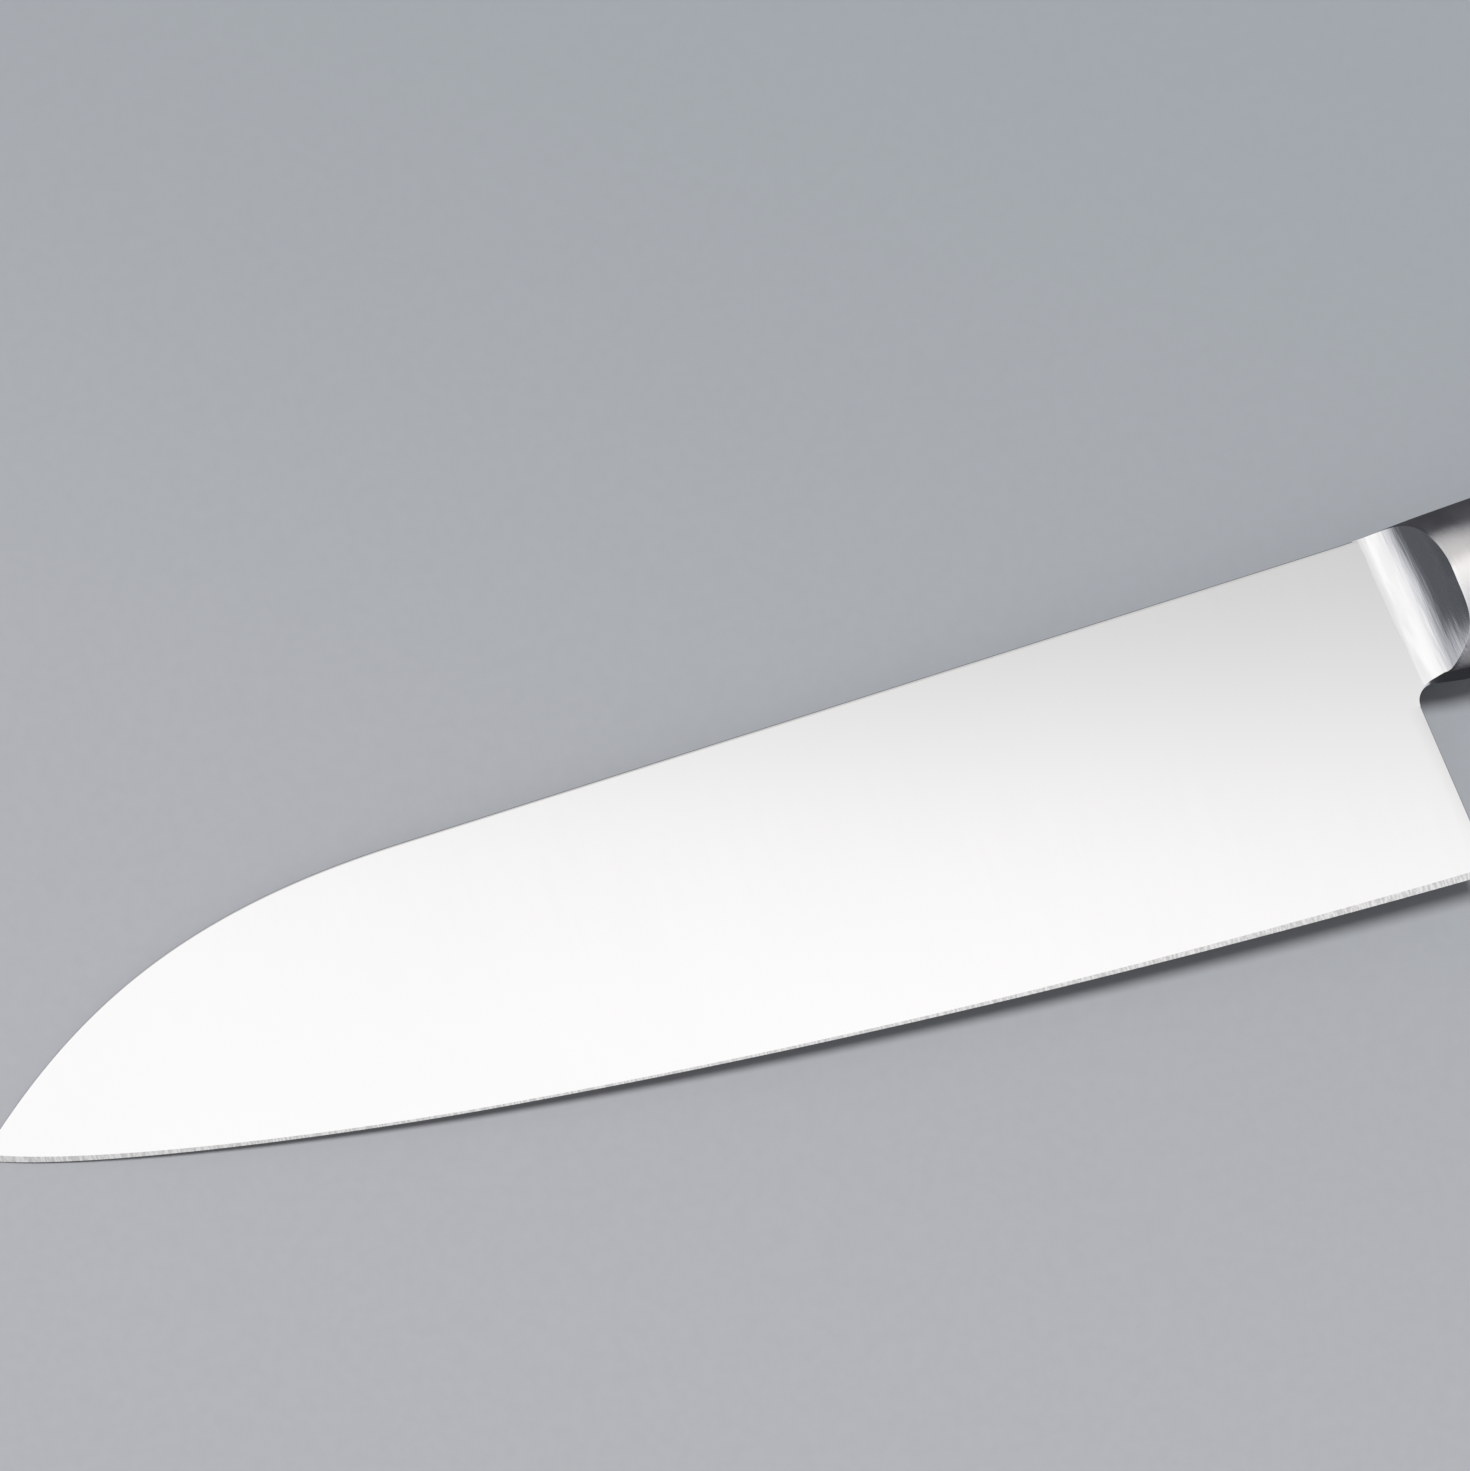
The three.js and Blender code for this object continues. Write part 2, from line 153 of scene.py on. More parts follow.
def polar(origin: Pair, angle: float, reach: float) -> Pair:
    """The point at a reach from an origin, at an angle in degrees."""
    turn = math.radians(angle)
    return origin[0] + reach * math.cos(turn), origin[1] + reach * math.sin(turn)


def halved(low: float, high: float, before: Callable[[float], bool]) -> float:
    """Finds by halving where a test stops holding.

    Args:
        low: A value that the test holds for.
        high: A larger value that it doesn't hold for.
        before: The test.

    Returns:
        The value where it stops.
    """
    for _ in range(HALVINGS):
        middle = (low + high) / 2
        low, high = (middle, high) if before(middle) else (low, middle)
    return (low + high) / 2


@dataclass(frozen=True)
class FairCurve:
    """A curve between two points that leaves and arrives at given angles, in degrees."""

    start: Pair
    start_angle: float
    start_reach: float
    end: Pair
    end_angle: float
    end_reach: float

    def point(self, share: float) -> Pair:
        """A point of the curve.

        Args:
            share: How far along the curve it lies, from 0 to 1.

        Returns:
            Its x and y.
        """
        first = polar(self.start, self.start_angle, self.start_reach)
        second = polar(self.end, self.end_angle, -self.end_reach)
        corners = (self.start, first, second, self.end)
        rest = 1 - share
        weights = (rest**3, 3 * rest**2 * share, 3 * rest * share**2, share**3)
        x, y = [sum(w * corner[axis] for w, corner in zip(weights, corners)) for axis in (0, 1)]
        return x, y

    def height(self, x: float) -> float:
        """The curve's y at a given x."""
        share = halved(0.0, 1.0, lambda middle: self.point(middle)[0] < x)
        return self.point(share)[1]


@dataclass(frozen=True)
class Profile:
    """A height that runs smoothly through stations along the handle, and is level before the first."""

    points: tuple[Pair, ...]

    def slope(self, index: int) -> float:
        """The slope at a station: level at the first, and the mean of its two sides after that.

        Args:
            index: Number of the station.

        Returns:
            The rise for each millimetre.
        """
        rises = [(b[1] - a[1]) / (b[0] - a[0]) for a, b in zip(self.points, self.points[1:])]
        if index == 0:
            return 0.0
        if index == len(rises):
            return rises[-1]
        return (rises[index - 1] + rises[index]) / 2

    def height(self, x: float) -> float:
        """The height on the cubic that joins the two nearest stations with their slopes.

        Args:
            x: Where it is read.

        Returns:
            The height there.
        """
        if x <= self.points[0][0]:
            return self.points[0][1]
        last = len(self.points) - 2
        index = next((i for i in range(last) if x <= self.points[i + 1][0]), last)
        (start, low), (end, high) = self.points[index], self.points[index + 1]
        run = end - start
        t = (x - start) / run
        leave, arrive = self.slope(index) * run, self.slope(index + 1) * run
        rise = (2 * t**3 - 3 * t**2 + 1) * low + (-2 * t**3 + 3 * t**2) * high
        return rise + (t**3 - 2 * t**2 + t) * leave + (t**3 - t**2) * arrive


@dataclass(frozen=True)
class Section:
    """One cross-section of the handle: middle, half height, side, flats, lower relief, undercut and lean."""

    middle: float
    half: float
    side: float
    flat: float
    low_flat: float
    relief: float
    undercut: float
    lean: float

    def ring_point(self, sign: int, angle: float, base: float) -> Pair:
        """A point of the outline on the left side.

        Args:
            sign: 1 on the shoulder towards the spine, -1 on the one below.
            angle: 0 at the tang, a quarter turn where the flat side starts.
            base: Height of the face that the piece is bedded on.

        Returns:
            The y and z of the point.
        """
        swell, half, flat = math.sin(angle), self.half, self.flat
        if sign < 0:
            swell += (1 - math.cos(angle) ** LINES.relief_power - swell) * self.relief
            half -= self.undercut
            flat = self.low_flat
        offset = sign * (flat + (half - flat) * math.cos(angle))
        return self.middle + offset, base + (self.side + self.lean * offset - base) * swell

    def skin(self, y: float, base: float) -> float:
        """Height of the outer surface over y, behind the bolster."""
        past = max(abs(y - self.middle) - self.flat, 0.0) / (self.half - self.flat)
        return base + (self.side - base) * math.sqrt(max(1 - past * past, 0.0))


@dataclass(frozen=True)
class KnifeLines:
    """The lines that the whole knife is drawn on, in millimetres and degrees."""

    # Outline of the blade: the heel, the tip and the curves between them.
    blade_length: float = 178.36
    heel_depth: float = 41.45
    heel_lean: float = 6.0
    heel_edge_angle: float = 1.6
    tip_depth: float = 20.56
    tip_spine_angle: float = 40.5
    tip_spine_reach: float = 19.2
    spine_curve_length: float = 58.0
    spine_curve_reach: float = 28.0
    tip_edge_angle: float = 24.6
    tip_edge_reach: float = 10.8
    belly_length: float = 60.0
    belly_depth: float = 32.87
    belly_angle: float = 7.1
    belly_reach: float = 19.9
    # Choil between the heel and the bolster.
    choil_radius: float = 1.9
    choil_depth: float = 18.4
    choil_run: float = 3.2
    # Half thicknesses of the blank, and its grind.
    half_stock: float = 1.1
    half_heel: float = 0.2
    half_tip: float = 0.2
    bevel_angle: float = 13.0
    half_edge: float = 0.02
    grind_run_out: float = 2.3
    # Bolster.
    bolster_lead: float = 5.86
    bolster_length: float = 25.0
    bolster_front_width: float = 9.9
    bolster_width: float = 14.6
    bolster_flat: float = 6.7
    bolster_side_lean: float = 3.5
    bolster_rise: float = 0.52
    bolster_rise_length: float = 9.5
    bolster_depth: float = 19.0
    # Lower shoulder of the bolster, which is rounded away and undercut.
    relief_length: float = 12.0
    relief_power: float = 1.6
    relief_share: float = 0.85
    relief_rounding: float = 0.95
    relief_undercut: float = 1.25
    undercut_lead: float = 1.4
    undercut_run: float = 2.4
    # Hollow front of the bolster.
    sweep_lead: float = 1.8
    sweep_rise: float = 13.1
    sweep_spine_run: float = 11.55
    sweep_belly_run: float = 11.15
    sweep_ease: float = 2.5
    sweep_lean: float = 6.9
    sweep_bend_angle: float = 19.8
    sweep_angle_growth: float = 0.254
    sweep_bend_depth: float = 16.5
    sweep_last_angle: float = 85.0
    sweep_steeper_share: float = 0.22
    sweep_steeper_depth: float = 7.0
    # Handle from the side, by stations behind the bolster and heights there.
    scale_gap: float = 0.1
    scale_length: float = 108.0
    crest_station: float = 8.0
    crest_rise: float = 1.0
    back_station: float = 57.0
    back_depth: float = 1.0
    butt_top_depth: float = 7.4
    waist_station: float = 15.0
    waist_depth: float = 19.1
    palm_station: float = 50.0
    palm_depth: float = 23.0
    neck_station: float = 76.0
    neck_depth: float = 22.8
    hook_depth: float = 28.6
    # Flat sides, widths and butt of the handle.
    land_start: float = 28.0
    land_end: float = 68.0
    land_height: float = 7.6
    palm_width: float = 18.4
    butt_width: float = 16.6
    butt_round: float = 13.0
    butt_squareness: float = 2.5

    @property
    def bolster_front(self) -> float:
        """Where the hollow front leaves the spine."""
        return self.blade_length - self.bolster_lead

    @property
    def bolster_rear(self) -> float:
        """Rear face of the bolster."""
        return self.bolster_front + self.bolster_length

    @property
    def butt_end(self) -> float:
        """Rear end of the handle, from the frame's own length."""
        return (CAD_BOX[1].x - CAD_BOX[0].x) / MM

    @property
    def butt_start(self) -> float:
        """Where the butt starts to round off."""
        return self.bolster_rear + self.scale_length - self.butt_round

    @property
    def choil(self) -> Pair:
        """Centre of the choil's arc, which touches the heel line.

        Returns:
            Its x and y.
        """
        lean = math.radians(self.heel_lean)
        y = -self.choil_depth - self.choil_radius
        x = self.blade_length + (self.choil_radius - (y + self.heel_depth) * math.sin(lean)) / math.cos(lean)
        return x, y

    def spine(self, x: float) -> float:
        """Height of the spine, and behind it of the handle's top.

        Args:
            x: Where it is read.

        Returns:
            The height there.
        """
        if x >= self.spine_curve_length:
            return self.handle_top(x)
        tip = (0.0, -self.tip_depth)
        end = (self.spine_curve_length, 0.0)
        curve = FairCurve(tip, self.tip_spine_angle, self.tip_spine_reach, end, 0.0, self.spine_curve_reach)
        return curve.height(x)

    def edge(self, x: float) -> float:
        """Height of the cutting edge.

        Args:
            x: Where it is read.

        Returns:
            The height there.
        """
        tip = (0.0, -self.tip_depth)
        belly = (self.belly_length, -self.belly_depth)
        heel = (self.blade_length, -self.heel_depth)
        # Reaches of a third of the span give an even curve.
        reach = math.dist(belly, heel) / 3
        curve = FairCurve(belly, -self.belly_angle, reach, heel, -self.heel_edge_angle, reach)
        if x < self.belly_length:
            curve = FairCurve(
                tip, -self.tip_edge_angle, self.tip_edge_reach, belly, -self.belly_angle, self.belly_reach
            )
        return curve.height(x)

    def heel(self, y: float) -> float:
        """The x of the leaning heel line at a height, drawn on up to the spine."""
        return self.blade_length - (y + self.heel_depth) * math.tan(math.radians(self.heel_lean))

    def face(self, x: float, y: float) -> float:
        """Height of the left face, a plane through the spine at the bolster, the heel and the tip.

        Args:
            x: Where it is read.
            y: Where it is read.

        Returns:
            The height there.
        """
        spine = Vector((self.bolster_front, 0.0, self.half_stock))
        heel = Vector((self.blade_length, -self.heel_depth, self.half_heel))
        tip = Vector((0.0, -self.tip_depth, self.half_tip))
        normal = (heel - spine).cross(tip - spine)
        return spine.z - (normal.x * (x - spine.x) + normal.y * (y - spine.y)) / normal.z

    def blank(self, x: float, y: float) -> float:
        """Height of the blank's left side: the ground face, running out into the full stock of the tang.

        Args:
            x: Where it is read.
            y: Where it is read.

        Returns:
            The height there.
        """
        ground = self.face(x, y)
        run_out = smoothstep(x, self.choil[0], self.blade_length + self.grind_run_out)
        return ground + (self.half_stock - ground) * run_out

    def handle_top(self, x: float) -> float:
        """Height of the top line of the bolster and handle.

        Args:
            x: Where it is read.

        Returns:
            The height there.
        """
        rear = self.bolster_rear
        points = (
            (self.bolster_front, 0.0),
            (self.bolster_front + self.bolster_rise_length, self.bolster_rise),
            (rear + self.crest_station, self.crest_rise),
            (rear + self.back_station, -self.back_depth),
            (rear + self.scale_length, -self.butt_top_depth),
        )
        return Profile(points).height(x)

    def handle_bottom(self, x: float) -> float:
        """Height of the bottom line of the bolster and handle.

        Args:
            x: Where it is read.

        Returns:
            The height there.
        """
        rear, choil = self.bolster_rear, self.choil[0]
        points = (
            (choil, -self.choil_depth),
            (choil + self.choil_run, -self.bolster_depth),
            (rear + self.waist_station, -self.waist_depth),
            (rear + self.palm_station, -self.palm_depth),
            (rear + self.neck_station, -self.neck_depth),
            (rear + self.scale_length, -self.hook_depth),
        )
        return Profile(points).height(x)

    def section(self, x: float) -> Section:
        """The handle's cross-section: narrow and lean at the bolster's front, oval from its rear on.

        Args:
            x: Where it is cut.

        Returns:
            The cross-section.
        """
        rear = self.bolster_rear
        flare = smoothstep(x, self.bolster_front + self.relief_length, rear)
        swell = smoothstep(x, rear, rear + self.land_start)
        fall = smoothstep(x, rear + self.land_end, rear + self.scale_length)
        along = unit((x - self.butt_start) / (self.butt_end - self.butt_start))
        closing = (1 - along**self.butt_squareness) ** (1 / self.butt_squareness)
        width = self.bolster_front_width + (self.bolster_width - self.bolster_front_width) * flare
        width += (self.palm_width - self.bolster_width) * swell - (self.palm_width - self.butt_width) * fall
        flat = self.bolster_flat + (self.land_height - self.bolster_flat) * (swell - fall)
        top, bottom = self.handle_top(x), self.handle_bottom(x)
        relief = 1 - flare
        return Section(
            middle=(top + bottom) / 2,
            half=(top - bottom) / 2 * closing,
            side=self.half_stock + (width / 2 - self.half_stock) * closing,
            flat=flat / 2 * closing,
            low_flat=flat / 2 * closing * (1 - 2 * self.relief_rounding * relief),
            relief=self.relief_share * relief,
            undercut=self.undercut(x),
            lean=math.tan(math.radians(self.bolster_side_lean)) * relief,
        )

    def undercut(self, x: float) -> float:
        """Width of the chamfer along the blank's underside, from the choil to the bolster's rear.

        Args:
            x: Where it is read.

        Returns:
            The width there.
        """
        rise = smoothstep(x, self.choil[0] - self.undercut_lead, self.choil[0] + self.undercut_run)
        fall = smoothstep(x, self.bolster_front + self.relief_length, self.bolster_rear)
        return self.relief_undercut * rise * (1 - fall)

    def butt_stations(self, count: int) -> list[float]:
        """Stations round the butt, closer together towards its end.

        Args:
            count: Number of stations.

        Returns:
            Their x, the last one at the very end.
        """
        power = 2 / self.butt_squareness
        reach = self.butt_end - self.butt_start
        return [self.butt_start + reach * math.sin(a) ** power for a in spread(0.0, math.pi / 2, count)]

    def sweep(self, x: float, y: float) -> float:
        """Height of the hollow front, which leaves the face gently, bends up and runs on straight.

        Args:
            x: Where it is read.
            y: Where it is read; the bend is sharper and the rise steeper towards the spine.

        Returns:
            The height there.
        """
        start = self.sweep_start(y)
        share = unit((x - start) / self.sweep_run(y))
        above = max(y + self.sweep_bend_depth, 0.0)
        angle = min(self.sweep_bend_angle + self.sweep_angle_growth * above**2, self.sweep_last_angle)
        curved = min(share, math.sin(math.radians(angle)) ** (2 / self.sweep_ease))
        upright = math.sqrt(1 - curved**self.sweep_ease)
        slope = self.sweep_ease * curved ** (self.sweep_ease - 1) / (2 * upright)
        rise = self.sweep_rise * (1 - upright + slope * (share - curved))
        steeper = self.sweep_steeper_share * smoothstep(y, -self.sweep_steeper_depth, self.crest_rise)
        return self.face(start, y) + rise * (1 + steeper)

    def sweep_start(self, y: float) -> float:
        """The x where the hollow front leaves the face, along a leaning line."""
        return self.bolster_front + self.sweep_lead - math.tan(math.radians(self.sweep_lean)) * y

    def sweep_run(self, y: float) -> float:
        """Length of the hollow front at a height, from the face to where its curve would stand upright."""
        taper = (self.sweep_spine_run - self.sweep_belly_run) / self.bolster_depth
        return self.sweep_spine_run + taper * y


LINES = KnifeLines()


def into_frame() -> Matrix:
    """Sets the drawing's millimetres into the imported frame.

    Returns:
        The matrix.
    """
    low, high = CAD_BOX
    origin = Vector((low.x, low.y + LINES.heel_depth * MM, (low.z + high.z) / 2))
    return Matrix.Translation(origin) @ Matrix.Scale(MM, 4)


def set_inputs(tree: NodeTree, node: Node, inputs: list[Any] | dict[str, Any]) -> None:
    """Sets or links the inputs of a node.

    Args:
        tree: Node tree that holds the node.
        node: The node.
        inputs: A value or an output socket for each input, by name or in the order of the inputs in use.
    """
    in_use = [socket for socket in node.inputs if socket.enabled]
    for key, value in inputs.items() if isinstance(inputs, dict) else enumerate(inputs):
        socket = in_use[key] if isinstance(key, int) else node.inputs[key]
        if isinstance(value, NodeSocket):
            tree.links.new(value, socket)
        else:
            socket.default_value = value


def add_node(
    tree: NodeTree, inputs: list[Any] | dict[str, Any], kind: str, output: str = "", **settings: Any
) -> NodeSocket:
    """Adds a node with its settings and links.

    Args:
        tree: Node tree that gets the node.
        inputs: A value or an output socket for each input, as set_inputs takes them.
        kind: The node's type name.
        output: Name of the output that is wanted, where that isn't the first one in use.
        settings: Values of the node's own properties.

    Returns:
        The output.
    """
    node = tree.nodes.new(kind)
    for name, value in settings.items():
        setattr(node, name, value)
    set_inputs(tree, node, inputs)
    return node.outputs[output] if output else next(socket for socket in node.outputs if socket.enabled)


def new_material(name: str) -> tuple[Material, NodeTree, NodeSocket]:
    """Starts a material.

    Args:
        name: Name of the real material and how its surface was made.

    Returns:
        The material, its tree and the object coordinates.
    """
    material = bpy.data.materials.new(name)
    material.use_nodes = True
    tree = material.node_tree
    return material, tree, add_node(tree, [], "ShaderNodeTexCoord", "Object")


def shaded(material: Material, inputs: dict[str, Any]) -> Material:
    """Sets or links the inputs of a material's shader and gives the material back."""
    set_inputs(material.node_tree, material.node_tree.nodes["Principled BSDF"], inputs)
    return material


def grain(
    tree: NodeTree, place: NodeSocket, sizes: Triple, turn: float = 0.0, detail: float = 3.0
) -> NodeSocket:
    """A noise stretched along its grain.

    Args:
        tree: Node tree of the material.
        place: Coordinates in metres.
        sizes: Width of a grain along x, y and z, in millimetres.
        turn: Degrees that the grain is turned about z.
        detail: Number of finer layers.

    Returns:
        The noise, from 0 to 1.
    """
    rotation = (0.0, 0.0, math.radians(turn))
    turned = add_node(tree, {"Vector": place, "Rotation": rotation}, "ShaderNodeMapping")
    scale = tuple(1 / (size * MM) for size in sizes)
    scaled = add_node(tree, {"Vector": turned, "Scale": scale}, "ShaderNodeMapping")
    return add_node(tree, {"Vector": scaled, "Scale": 1.0, "Detail": detail}, "ShaderNodeTexNoise")


@dataclass(frozen=True)
class SatinBladeSteel:
    """Stainless steel, flat ground and satin polished; grain sizes run along x, y and z in millimetres."""

    colour: str = "#D8D7D7"
    worn: str = "#D4D3D3"
    patch: Triple = (38.0, 38.0, 38.0)
    line: Triple = (0.5, 22.0, 0.5)
    line_contrast: Pair = (0.25, 0.75)
    roughness: Pair = (0.114, 0.126)

    def build(self) -> Material:
        """Makes the material.

        Returns:
            The material.
        """
        # Nearly a mirror: the face shows the white room, with a faint grain from spine to edge.
        # The real grain is finer than a pixel, so its lines are drawn half a millimetre wide.
        material, tree, place = new_material("stainless_steel_satin_polished")
        lines = grain(tree, place, self.line)
        cloud = grain(tree, place, self.patch)
        tone = add_node(tree, [cloud, linear(self.colour), linear(self.worn)], **BLEND)
        rough = add_node(tree, [lines, *self.line_contrast, *self.roughness], **SMOOTH)
        return shaded(material, {"Base Color": tone, "Roughness": rough, "Metallic": 1.0})


@dataclass(frozen=True)
class GroundEdgeSteel:
    """Stainless steel straight off the sharpening stone."""

    colour: str = "#DEDCDA"
    scratch_colour: str = "#CAC8C6"
    scratch: Triple = (0.24, 0.9, 0.9)
    scratch_detail: float = 2.0
    tone_contrast: Pair = (0.35, 0.65)
    rough_contrast: Pair = (0.3, 0.7)
    roughness: Pair = (0.25, 0.35)
    depth: float = 0.002

    def build(self) -> Material:
        """Makes the material.

        Returns:
            The material.
        """
        # A narrow grey band that sparkles: short scratches across the bevel break its reflection up.
        # The stone's scratches are drawn several times coarser than they are, so that they show.
        material, tree, place = new_material("stainless_steel_stone_ground")
        lines = grain(tree, place, self.scratch, detail=self.scratch_detail)
        share = add_node(tree, [lines, *self.tone_contrast, 0.0, 1.0], **SMOOTH)
        tone = add_node(tree, [share, linear(self.colour), linear(self.scratch_colour)], **BLEND)
        rough = add_node(tree, [lines, *self.rough_contrast, *self.roughness], **SMOOTH)
        relief = {"Height": lines, "Distance": self.depth * MM, "Strength": 1.0}
        bump = add_node(tree, relief, "ShaderNodeBump")
        return shaded(material, {"Base Color": tone, "Roughness": rough, "Normal": bump, "Metallic": 1.0})


@dataclass(frozen=True)
class GroundBolsterSteel:
    """Stainless steel ground on a wheel along the hollow front, and satin polished round the barrel."""

    colour: str = "#D6D5D5"
    dull: str = "#D8D5D4"
    smudge_colour: str = "#BFBABA"
    smudge: Triple = (5.0, 5.0, 5.0)
    smudge_contrast: Pair = (0.45, 0.7)
    smudge_share: float = 0.6
    scuff: Triple = (1.2, 7.0, 1.2)
    scuff_contrast: Pair = (0.35, 0.65)
    sweep_roughness: Pair = (0.1, 0.22)
    barrel_roughness: float = 0.28
    streak: Triple = (0.6, 6.0, 0.6)
    streak_turn: float = -6.9
    depth: float = 0.03

    def build(self) -> Material:
        """Makes the material.

        Returns:
            The material.
        """
        # The hollow shows long bright and dark streaks, and the barrel a softer, slightly smudged shine.
        # The wheel's streaks are drawn coarser than they are, so that they show.
        material, tree, place = new_material("stainless_steel_wheel_ground")
        barrel, ground = [
            add_node(tree, [], "ShaderNodeAttribute", "Fac", attribute_name=name)
            for name in ("barrel", "ground")
        ]
        cloud = grain(tree, place, self.smudge)
        smudged = add_node(tree, [cloud, *self.smudge_contrast, 0.0, self.smudge_share], **SMOOTH)
        worn = add_node(tree, [smudged, linear(self.dull), linear(self.smudge_colour)], **BLEND)
        tone = add_node(tree, [barrel, linear(self.colour), worn], **BLEND)
        scuffs = grain(tree, place, self.scuff, self.streak_turn)
        swept = add_node(tree, [scuffs, *self.scuff_contrast, *self.sweep_roughness], **SMOOTH)
        rough = add_node(tree, [barrel, swept, self.barrel_roughness], "ShaderNodeMix")
        streaks = grain(tree, place, self.streak, self.streak_turn)
        relief = {"Height": streaks, "Distance": self.depth * MM, "Strength": ground}
        bump = add_node(tree, relief, "ShaderNodeBump")
        return shaded(material, {"Base Color": tone, "Roughness": rough, "Normal": bump, "Metallic": 1.0})


@dataclass(frozen=True)
class DyedBirchLaminate:
    """Birch veneers dyed dark, pressed with resin and polished."""

    light: str = "#4A3027"
    dark: str = "#1D130F"
    veneer: Triple = (60.0, 9.0, 0.7)
    veneer_contrast: Pair = (0.3, 0.7)
    pore: Triple = (7.0, 0.18, 0.18)
    pore_contrast: Pair = (0.52, 0.68)
    pore_share: float = 0.75
    detail: float = 2.0
    rough_contrast: Pair = (0.45, 0.7)
    roughness: Pair = (0.38, 0.54)
    depth: float = 0.02
    strength: float = 0.6

    def build(self) -> Material:
        """Makes the material.

        Returns:
            The material.
        """
        # Fine brown lines where the layers run out on the curves, and dull pores under a soft gloss.
        # The pores are drawn somewhat wider than they are, so that they show.
        material, tree, place = new_material("dyed_birch_laminate_polished")
        layers = grain(tree, place, self.veneer, detail=self.detail)
        pores = grain(tree, place, self.pore, detail=self.detail)
        layered = add_node(tree, [layers, *self.veneer_contrast, 0.0, 1.0], **SMOOTH)
        tone = add_node(tree, [layered, linear(self.dark), linear(self.light)], **BLEND)
        open_pores = add_node(tree, [pores, *self.pore_contrast, 0.0, self.pore_share], **SMOOTH)
        pored = add_node(tree, [open_pores, tone, linear(self.dark)], **BLEND)
        rough = add_node(tree, [pores, *self.rough_contrast, *self.roughness], **SMOOTH)
        relief = {"Height": pores, "Distance": self.depth * MM, "Strength": self.strength}
        bump = add_node(tree, relief, "ShaderNodeBump", invert=True)
        return shaded(material, {"Base Color": pored, "Roughness": rough, "Normal": bump})


@dataclass(frozen=True)
class FlushRivetSteel:
    """Stainless steel rivet heads, ground flush with the wood on a belt and polished."""

    colour: str = "#D2CFCB"
    dull: str = "#B4B0AA"
    line: Triple = (4.0, 0.2, 0.2)
    tone_contrast: Pair = (0.35, 0.65)
    rough_contrast: Pair = (0.3, 0.7)
    roughness: Pair = (0.22, 0.32)

    def build(self) -> Material:
        """Makes the material.

        Returns:
            The material.
        """
        # A soft shine with fine lines along the handle, which the belt leaves on wood and steel alike.
        # The lines are drawn wide enough to show.
        material, tree, place = new_material("stainless_steel_belt_polished")
        lines = grain(tree, place, self.line)
        share = add_node(tree, [lines, *self.tone_contrast, 0.0, 1.0], **SMOOTH)
        tone = add_node(tree, [share, linear(self.colour), linear(self.dull)], **BLEND)
        rough = add_node(tree, [lines, *self.rough_contrast, *self.roughness], **SMOOTH)
        return shaded(material, {"Base Color": tone, "Roughness": rough, "Metallic": 1.0})


@dataclass(frozen=True)
class PaperFloor:
    """A matt sheet of pale grey paper, with painted shade: a painted falloff of the light darkens it from near
    to far.
    """

    # Painted light: the paper is lighter near and darker far, a painted falloff of the lamp's light over the
    # fade's span.
    near: str = "#C2C3C8"
    far: str = "#AEB4BA"
    shade: str = "#9FA3A9"
    fade: Pair = (-90.0, 120.0)
    tooth: Triple = (1.5, 1.5, 1.5)
    tooth_contrast: Pair = (0.2, 0.8)
    tooth_share: float = 0.1
    roughness: float = 0.9
    gloss: float = 0.1

    def build(self, middle: Vector, away: Vector) -> Material:
        """Makes the material.

        Args:
            middle: Middle of the picture on the sheet.
            away: The direction in which the painted shade darkens the sheet.

        Returns:
            The material.
        """
        # A quiet grey without shine, darkened from near to far by painted shade, and a faint tooth that only
        # shows close by.
        # The tooth is drawn coarser than it is, so that it shows at all.
        material, tree, place = new_material("paper_matt_painted_falloff")
        moved = add_node(tree, [place, middle], "ShaderNodeVectorMath", operation="SUBTRACT")
        distance = add_node(tree, [moved, away], **DOT)
        # Painted shade: the paper darkens along the direction away from the near side, where the light would
        # fall off.
        painted_falloff = add_node(tree, [distance, self.fade[0] * MM, self.fade[1] * MM, 0.0, 1.0], **SMOOTH)
        sheet = add_node(tree, [painted_falloff, linear(self.near), linear(self.far)], **BLEND)
        fibres = grain(tree, place, self.tooth)
        share = add_node(tree, [fibres, *self.tooth_contrast, 0.0, self.tooth_share], **SMOOTH)
        tone = add_node(tree, [share, sheet, linear(self.shade)], **BLEND)
        inputs = {"Base Color": tone, "Roughness": self.roughness, "Specular IOR Level": self.gloss}
        return shaded(material, inputs)


def grid_of(
    columns: int, rows: int, point: Callable[[int, int], Vector], marks: dict[str, Mark]
) -> tuple[BMesh, Corners]:
    """A grid of quads whose corners are moved onto a surface.

    Args:
        columns: Number of steps along the first direction.
        rows: Number of steps along the second.
        point: Gives the place of a corner from its column and row.
        marks: Numbers that each corner carries, by name, also from its column and row.

    Returns:
        The mesh, and its corners by column and row.
    """
    mesh = bmesh.new()
    for name in marks:
        mesh.verts.layers.float.new(name)
    bmesh.ops.create_grid(mesh, x_segments=columns, y_segments=rows, size=1.0)
    lowest = min(v.co.x for v in mesh.verts), min(v.co.y for v in mesh.verts)
    width = max(v.co.x for v in mesh.verts) - lowest[0]
    height = max(v.co.y for v in mesh.verts) - lowest[1]
    corners = {}
    for vert in mesh.verts:
        column = round((vert.co.x - lowest[0]) / width * columns)
        row = round((vert.co.y - lowest[1]) / height * rows)
        corners[column, row] = vert
    for (column, row), vert in corners.items():
        vert.co = point(column, row)
        for name, mark in marks.items():
            vert[mesh.verts.layers.float[name]] = mark(column, row)
    return mesh, corners


def column_edges(mesh: BMesh, corners: Corners, column: int) -> list[BMEdge]:
    """The edges along one column of a grid, from its first row to its last.

    Args:
        mesh: The grid.
        corners: Its corners by column and row.
        column: The column.

    Returns:
        The edges in order.
    """
    rows = sum(1 for place in corners if place[0] == column)
    chain = [corners[column, row] for row in range(rows)]
    return [mesh.edges.get(pair) for pair in zip(chain, chain[1:])]


